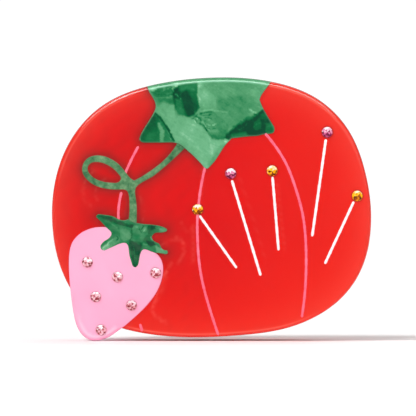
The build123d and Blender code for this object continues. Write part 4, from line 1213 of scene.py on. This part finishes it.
# ---------------------------------------------------------------- comb
COMB_THICK, COMB_TIP_THICK = 3.0, 1.7
COMB_TOP, COMB_BEND_START, COMB_BEND_RADIUS = 0.5, -11.0, 22.5   # top and bend start are y
COMB_BEND = math.radians(62.0)
COMB_STRAIGHT = COMB_TOP - COMB_BEND_START
TOOTH_PITCH = 8.0
FRONT_TEETH = [TOOTH_PITCH * (i - 3.5) for i in range(8)]
REAR_TEETH = [TOOTH_PITCH * (i - 3) for i in range(7)]
ROOT_HALF, TIP_RADIUS, GULLET_RADIUS = 2.4, 1.2, 1.6
# where the comb's sides narrow to the outer teeth: inset, distance down from the tooth roots
SHOULDER = [(0, -2.4), (0.06, -1.5), (0.22, -0.7), (0.44, 0)]


def comb_place(x, down, inward):
    """x across, down the comb from its top, and inward from the plate's back."""
    turn = np.maximum(down - COMB_STRAIGHT, 0) / COMB_BEND_RADIUS
    straight = down <= COMB_STRAIGHT
    radius = COMB_BEND_RADIUS - inward
    y = np.where(straight, COMB_TOP - down, COMB_BEND_START - radius * np.sin(turn))
    z = np.where(straight, BACK - inward, BACK - COMB_BEND_RADIUS + radius * np.cos(turn))
    return front_place(x, y, z)


def build_comb(teeth):
    tip = COMB_STRAIGHT + COMB_BEND_RADIUS * COMB_BEND
    root = COMB_STRAIGHT + 2.2
    half = max(teeth) + 3.0
    parts = (0.12, 0.3, 0.5, 0.7, 0.88)

    def flank(tooth, side):
        return [(tooth + side * ROOT_HALF + side * (TIP_RADIUS - ROOT_HALF) * part ** 1.1,
                 root + (tip - TIP_RADIUS - root) * part) for part in parts]

    # drawn in (x, down): along the top, down the right end, then back along the teeth
    corner = 1.5
    outline = arc(-half + corner, corner, corner, 180, 270, 6)
    outline += arc(half - corner, corner, corner, 270, 360, 6)
    outline += [(half - inset, root + down) for inset, down in SHOULDER]
    order = sorted(teeth, reverse=True)
    outline.append((order[0] + 2.42, root + 0.6))
    for k, tooth in enumerate(order):
        outline += flank(tooth, 1) + arc(tooth, tip - TIP_RADIUS, TIP_RADIUS, 0, 180, 10)
        outline += flank(tooth, -1)[::-1]
        if k < len(order) - 1:
            gullet = (tooth + order[k + 1]) / 2
            outline += arc(gullet, root + 0.2, GULLET_RADIUS, 0, -180, 10)
    outline.append((order[-1] - 2.42, root + 0.6))
    outline += [(-half + inset, root + down) for inset, down in SHOULDER[::-1]]
    outline = np.array(outline)
    apart = np.hypot(*(outline - np.roll(outline, 1, axis=0)).T) > 0.02
    loop = respaced(outline[apart], 0.5)

    edge = 0.75
    plane, tris = triangulate([loop], rings(loop, round_steps(edge) + [1.1]),
                              lambda p: inside(loop, p), 0.9, 0.35)
    gap, down = distance(loop, plane), plane[:, 1]
    taper = np.clip((down - COMB_STRAIGHT) / (tip - COMB_STRAIGHT), 0, 1)
    thick = COMB_THICK + (COMB_TIP_THICK - COMB_THICK) * taper
    radius = np.minimum(edge, thick * 0.46)
    # crisper edges on the side glued to the plate
    low = drop(gap, np.where(down < COMB_STRAIGHT - 1, 0.25, radius))
    solid, faces, _ = closed_slab(plane, tris, thick - drop(gap, radius), low, comb_place, 2)
    return solid, faces, {}


# ---------------------------------------------------------------- hinge lugs
FOOT_THICK, FOOT_EDGE = 1.6, 0.45
FOOT_HALF_WIDE, FOOT_HALF_TALL, FOOT_CORNER = 4.5, 8.0, 1.5
WEB_HALF_TALL, WEB_HALF_THICK, NOSE_RADIUS = 6.9, 2.0, 3.5


def build_web(bore_radius):
    """Web in the (y, z) plane that narrows to a nose round the bore; flares into its foot."""
    foot_face = BACK - FOOT_THICK
    top, bottom = HINGE_UP + WEB_HALF_TALL, HINGE_UP - WEB_HALF_TALL
    axis = (HINGE_UP, AXIS_OUT)
    nose_start = polar(*axis, NOSE_RADIUS, 12)
    nose_end = polar(*axis, NOSE_RADIUS, 192)

    def flank(start, end, sign):
        """From the foot in a soft curve, then straight to the nose."""
        curve = []
        for i in range(1, 14):
            part = i / 14
            x = start[0] + (end[0] - start[0]) * part
            y = start[1] + (end[1] - start[1]) * part
            curve.append((x - sign * 0.55 * math.sin(math.pi * part) ** 1.2 * (1 - part), y))
        return curve

    outline = [(bottom, BACK - 0.3), (top, BACK - 0.3), (top, foot_face)]
    outline += flank((top, foot_face), nose_start, 1)
    outline += arc(*axis, NOSE_RADIUS, 12, -168, 26)[:-1] + [nose_end]
    outline += flank((bottom, foot_face), nose_end, -1)[::-1] + [(bottom, foot_face)]
    loop = respaced(np.array(outline), 0.4)
    bore = circle(axis, bore_radius, 40)

    def region(plane):
        return inside(loop, plane) & (from_point(plane, axis) > bore_radius)

    edge = 0.6
    extra = np.vstack([rings(loop, round_steps(edge)), rings(bore, [0.06, 0.14, 0.25], False),
                       circle(axis, 2.3, 40), circle(axis, 2.45, 40)])
    plane, tris = triangulate([loop, bore], extra, region, 0.55, 0.2)
    flare = drop(np.maximum(foot_face - plane[:, 1], 0), 1.3)
    half = (WEB_HALF_THICK - drop(distance(loop, plane), edge)
            - drop(from_point(plane, axis) - bore_radius, 0.2)
            + np.where(plane[:, 1] > BACK - 3.2, flare, 0))
    return plane, tris, half


def build_lugs(middle, bore_radius):
    """Two lugs at x = -middle and +middle, each a web on a rounded foot glued to the plate."""
    web, web_tris, half = build_web(bore_radius)
    x, y = FOOT_HALF_WIDE - FOOT_CORNER, FOOT_HALF_TALL - FOOT_CORNER
    corners = []
    for corner_x, corner_y, start in ((x, y, 0), (-x, y, 90), (-x, -y, 180), (x, -y, 270)):
        corners += arc(corner_x, corner_y, FOOT_CORNER, start, start + 90, 6)
    foot = ccw(respaced(np.array(corners), 0.35) + [0, HINGE_UP])
    foot_rings = rings(foot, round_steps(FOOT_EDGE))
    parts = []
    for lug_x in (-middle, middle):
        parts.append(closed_slab(web, web_tris, half, -half,
                                 lambda y, z, side: front_place(lug_x + side, y, z), 3)[:2])
        loop = foot + [lug_x, 0]
        plane, tris = triangulate([loop], foot_rings + [lug_x, 0],
                                  lambda p: inside(loop, p), 0.8, 0.25)
        bottom = (BACK - FOOT_THICK + drop(distance(loop, plane), FOOT_EDGE)
                  + ripple(plane, 3, 9.0, 0.006))
        parts.append(closed_slab(plane, tris, np.full(len(plane), BACK + 0.004), bottom,
                                 walls=2)[:2])
    return *joined(parts), {}


# ---------------------------------------------------------------- hinge pin, cap and spring
PIN_RADIUS = 1.2
HEAD_X, HEAD_RADIUS, HEAD_THICK = 19.45, 2.2, 1.5


def lathe(profile, count=48):
    """Turned about the hinge axis from (x, radius) pairs, the ends of which may lie on it."""
    verts, faces, turns = [], [], []
    for x, radius in profile:
        steps = 1 if radius < 1e-6 else count
        turns.append(range(len(verts), len(verts) + steps))
        for i in range(steps):
            angle = 2 * math.pi * i / count
            verts.append((x, radius * math.cos(angle), radius * math.sin(angle)))
    for one, two in zip(turns[:-1], turns[1:]):
        for i in range(count):
            j = (i + 1) % count
            if len(one) == 1:
                faces.append((one[0], two[j], two[i]))
            elif len(two) == 1:
                faces.append((one[i], one[j], two[0]))
            else:
                faces.append((one[i], one[j], two[j], two[i]))
    return hinge_place(verts), faces, {}


def hinge_place(verts):
    verts = np.array(verts)
    verts[:, 2] += HINGE_Z
    return verts * MM


def dome(sign, steps=7):
    """Domed head from its flat inner face, over a rolled rim, out to its crown."""
    start = sign * HEAD_X
    # rim: distance out, distance in from the full radius
    rim = ((0, 0.18), (0.10, 0.04), (0.24, 0), (0.46, 0.02), (0.62, 0.14))
    profile = [(start + sign * out, HEAD_RADIUS - inset) for out, inset in rim]
    for i in range(1, steps + 1):
        angle = math.radians(90 * i / steps)
        profile.append((start + sign * (0.62 + (HEAD_THICK - 0.62) * math.sin(angle)),
                        (HEAD_RADIUS - 0.14) * math.cos(angle) if i < steps else 0.0))
    return profile


def build_pin():
    shank = [(-19.44, 1.5), (-19.40, 1.26)]
    shank += [(x, PIN_RADIUS) for x in (-19.25, -8.0, 0.0, 8.0, 18.6, 20.1)]
    return lathe(dome(-1)[::-1] + shank + [(20.33, 1.02), (20.35, 0.0)])


def build_cap():
    inner = [(19.47, 1.215), (HEAD_X, 1.36)]
    crown_dimple = [(20.935, 0.34), (20.88, 0.22), (20.84, 0.0)]
    return lathe(inner + dome(1)[:-1] + crown_dimple)


WIRE_RADIUS, COIL_RADIUS, COIL_TURNS, COIL_HALF = 0.55, 2.30, 6, 4.05
LEG_DOWN, LEG_END, KNEE_RADIUS = 15.0, 4.5, 1.8


def unit(vector):
    return vector / np.hypot(*vector)


def spring_leg():
    """One leg in world (y, z) from the hinge axis, end to coil, and its angle at the coil."""
    out = HINGE_GAP - WIRE_RADIUS - 0.05
    knee = np.array([-(LEG_DOWN * SIN + out * COS), LEG_DOWN * COS - out * SIN])
    end = knee + LEG_END * np.array([-SIN, COS])
    touch = math.atan2(knee[1], knee[0]) + math.acos(COIL_RADIUS / math.hypot(*knee))
    tangent = COIL_RADIUS * np.array([math.cos(touch), math.sin(touch)])
    to_coil, to_end = unit(tangent - knee), unit(end - knee)
    angle = math.acos(max(-1, min(1, float(to_coil @ to_end))))
    cut = KNEE_RADIUS / math.tan(angle / 2)
    coil_side, end_side = knee + to_coil * cut, knee + to_end * cut
    centre = knee + unit(to_coil + to_end) * KNEE_RADIUS / math.sin(angle / 2)
    start = math.atan2(*(end_side - centre)[::-1])
    stop = math.atan2(*(coil_side - centre)[::-1])
    turn = (stop - start + math.pi) % (2 * math.pi) - math.pi
    leg = [end + (end_side - end) * part for part in np.linspace(0, 1, 9)]
    for part in np.linspace(0, 1, 9)[1:]:
        angle = start + turn * part
        leg.append(centre + KNEE_RADIUS * np.array([math.cos(angle), math.sin(angle)]))
    leg += [coil_side + (tangent - coil_side) * part for part in np.linspace(0, 1, 18)[1:]]
    return leg, touch


def build_spring():
    leg, touch = spring_leg()
    front = [(-COIL_HALF, y, z) for y, z in leg]
    rear = [(COIL_HALF, -y, z) for _, y, z in reversed(front)]
    sweep = 2 * math.pi * COIL_TURNS + (math.pi - touch - touch) % (2 * math.pi)
    steps = 48 * (COIL_TURNS + 1)
    coil = []
    for i in range(1, steps):
        part = i / steps
        angle = touch + sweep * part
        coil.append((-COIL_HALF + 2 * COIL_HALF * part, COIL_RADIUS * math.cos(angle),
                     COIL_RADIUS * math.sin(angle)))
    path = np.array(front + coil + rear, float)
    keep = np.ones(len(path), bool)
    keep[1:] = np.linalg.norm(np.diff(path, axis=0), axis=1) > 1e-4
    path = path[keep]
    run = np.gradient(path, axis=0)
    run /= np.linalg.norm(run, axis=1)[:, None]
    normal = np.cross(run[0], (1, 0, 0))
    normal /= np.linalg.norm(normal)
    sides, last, verts, faces = 14, len(path) - 1, [], []
    for k in range(last + 1):
        normal = normal - run[k] * (normal @ run[k])
        normal /= np.linalg.norm(normal)
        across = np.cross(run[k], normal)
        # the sheared ends of the wire are a little narrower
        radius = WIRE_RADIUS * (0.86 if k in (0, last) else 1.0)
        for i in range(sides):
            angle = 2 * math.pi * i / sides
            verts.append(path[k] + radius * (normal * math.cos(angle)
                                             + across * math.sin(angle)))
    for k in range(last):
        for i in range(sides):
            j = (i + 1) % sides
            here, there = k * sides, (k + 1) * sides
            faces.append((here + i, here + j, there + j, there + i))
    faces.append(tuple(reversed(range(sides))))
    faces.append(tuple(last * sides + i for i in range(sides)))
    return hinge_place(verts), faces, {}


# ---------------------------------------------------------------- putting the claw together
STONE = dict(level=0.02, shade=0.34)
for name, piece, material, slot, angle in (
        ("plate", build_plate(), RED, "red_acetate", 38.0),
        ("cap_leaf", build_leaf(), GREEN, "green_marble_acetate", 38.0),
        ("strawberry", build_berry(), PINK, "pink_acetate", 38.0),
        ("strawberry_leaf", build_calyx(), GREEN, "green_marble_acetate", 38.0),
        ("vine", build_vine(), VINE_GREEN, "vine_green_acetate", 38.0),
        ("seam_inlays", build_seams(), PINK_PAINT, "pink_paint", 50.0),
        ("pin_inlays", build_pins(), WHITE_PAINT, "white_paint", 50.0),
        ("amber_crystals", build_stones(AMBER_CENTRES, seed=3, **STONE), AMBER,
         "amber_crystal", None),
        ("rose_crystals", build_stones(ROSE_CENTRES, seed=5, **STONE), ROSE,
         "rose_crystal", None),
        ("seed_crystals", build_stones(SEED_CENTRES, level=0.16, seed=11, shade=0.10), PALE,
         "pale_crystal", None)):
    for side in ("front", "rear"):
        jaw_piece(side + "_" + name, side, piece, material, angle)

# the rear lugs stand outside the front ones
for side, teeth, middle, bore_radius in (("front", FRONT_TEETH, 13.0, PIN_RADIUS),
                                         ("rear", REAR_TEETH, 17.3, 1.25)):
    jaw_piece(side + "_comb", side, build_comb(teeth), RED_PLAIN)
    jaw_piece(side + "_hinge_lugs", side, build_lugs(middle, bore_radius), RED_PLAIN)

jaw_piece("hinge_pin", "front", build_pin(), NICKEL, angle=30.0)
jaw_piece("hinge_pin_cap", "front", build_cap(), NICKEL, angle=30.0)
spring = mesh_object("torsion_spring", build_spring(), SPRING, angle=60.0)
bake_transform(spring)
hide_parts("torsion_spring")

# ---------------------------------------------------------------- studio (metres)
scene = bpy.context.scene
scene.view_settings.view_transform = "Standard"
scene.view_settings.look = "None"
scene.view_settings.exposure = 0.0
scene.view_settings.gamma = 1.0


def build_floor(half=6.0):
    mesh = bpy.data.meshes.new("studio_floor")
    corners = [(-half, -half, 0), (half, -half, 0), (half, half, 0), (-half, half, 0)]
    mesh.from_pydata(corners, [], [(0, 1, 2, 3)])
    floor = bpy.data.objects.new("studio_floor", mesh)
    scene.collection.objects.link(floor)
    shader = Shader("studio_floor")
    paper = shader.remap(shader.noise(shader.coords(), scale=40.0, detail=4), (0.3, 0.7))
    base = shader.mix(paper, (0.94, 0.94, 0.94, 1), (0.96, 0.96, 0.96, 1))
    mesh.materials.append(shader.put(Base_Color=base, Roughness=0.9, Specular_IOR_Level=0.1))


def build_world():
    """White to the camera, and a dimmer, slightly warm air that lights the claw."""
    world = bpy.data.worlds.new("studio")
    scene.world = world
    world.use_nodes = True
    tree = world.node_tree
    tree.nodes.clear()
    output = tree.nodes.new("ShaderNodeOutputWorld")
    mix = tree.nodes.new("ShaderNodeMixShader")
    rays = tree.nodes.new("ShaderNodeLightPath")
    tree.links.new(rays.outputs["Is Camera Ray"], mix.inputs[0])
    for i, colour, strength in ((2, (1, 1, 1, 1), 1.05), (1, (1, 0.995, 0.99, 1), 0.38)):
        background = tree.nodes.new("ShaderNodeBackground")
        background.inputs[0].default_value = colour
        background.inputs[1].default_value = strength
        tree.links.new(background.outputs[0], mix.inputs[i])
    tree.links.new(mix.outputs[0], output.inputs["Surface"])


def add_light(name, kind, place, aim, energy):
    lamp = bpy.data.lights.new(name, kind)
    lamp.energy = energy
    ob = bpy.data.objects.new(name, lamp)
    ob.location = place
    ob.rotation_euler = (Vector(aim) - Vector(place)).to_track_quat("-Z", "Y").to_euler()
    scene.collection.objects.link(ob)
    return ob


def area(name, place, size, energy):
    """Rectangular light aimed at the middle of the claw."""
    ob = add_light(name, "AREA", place, (0, 0, 0.0375), energy)
    ob.data.shape = "RECTANGLE"
    ob.data.size, ob.data.size_y = size
    ob.data.color = (1, 1, 1)
    return ob


def sun(name, toward, energy, softness):
    """Broad, even light, so that the paper is equally bright out to the horizon."""
    ob = add_light(name, "SUN", toward, (0, 0, 0), energy)
    ob.data.angle = math.radians(softness)


build_floor()
build_world()
sun("key", toward=(-0.55, -0.62, 1.05), energy=2.05, softness=22)
sun("overhead", toward=(0.25, 0.55, 1.3), energy=0.75, softness=40)
area("fill", place=(0.46, -0.52, 0.10), size=(0.35, 0.35), energy=1.20)
# a wide softbox that only shows as the shine on rounded edges and facets
shine = area("softbox", place=(-0.05, -0.46, 0.50), size=(1.3, 0.40), energy=22.0)
shine.visible_diffuse = False
shine.visible_camera = False

# square on to the front, at the height of the plate frame's origin
CAMERA_AWAY, VIEW_WIDTH, SENSOR_WIDTH = 1.6, 0.1173, 36.0
camera_data = bpy.data.cameras.new("camera")
camera = bpy.data.objects.new("camera", camera_data)
scene.collection.objects.link(camera)
scene.camera = camera
camera_data.sensor_width = SENSOR_WIDTH
camera_data.lens = SENSOR_WIDTH * CAMERA_AWAY / VIEW_WIDTH
camera_data.clip_start, camera_data.clip_end = 0.05, 40.0
camera.location = (-0.00092, ORIGIN_Y * MM - CAMERA_AWAY, ORIGIN_Z * MM + 0.0002)
camera.rotation_euler = (math.radians(90), 0, 0)

bpy.context.view_layer.update()
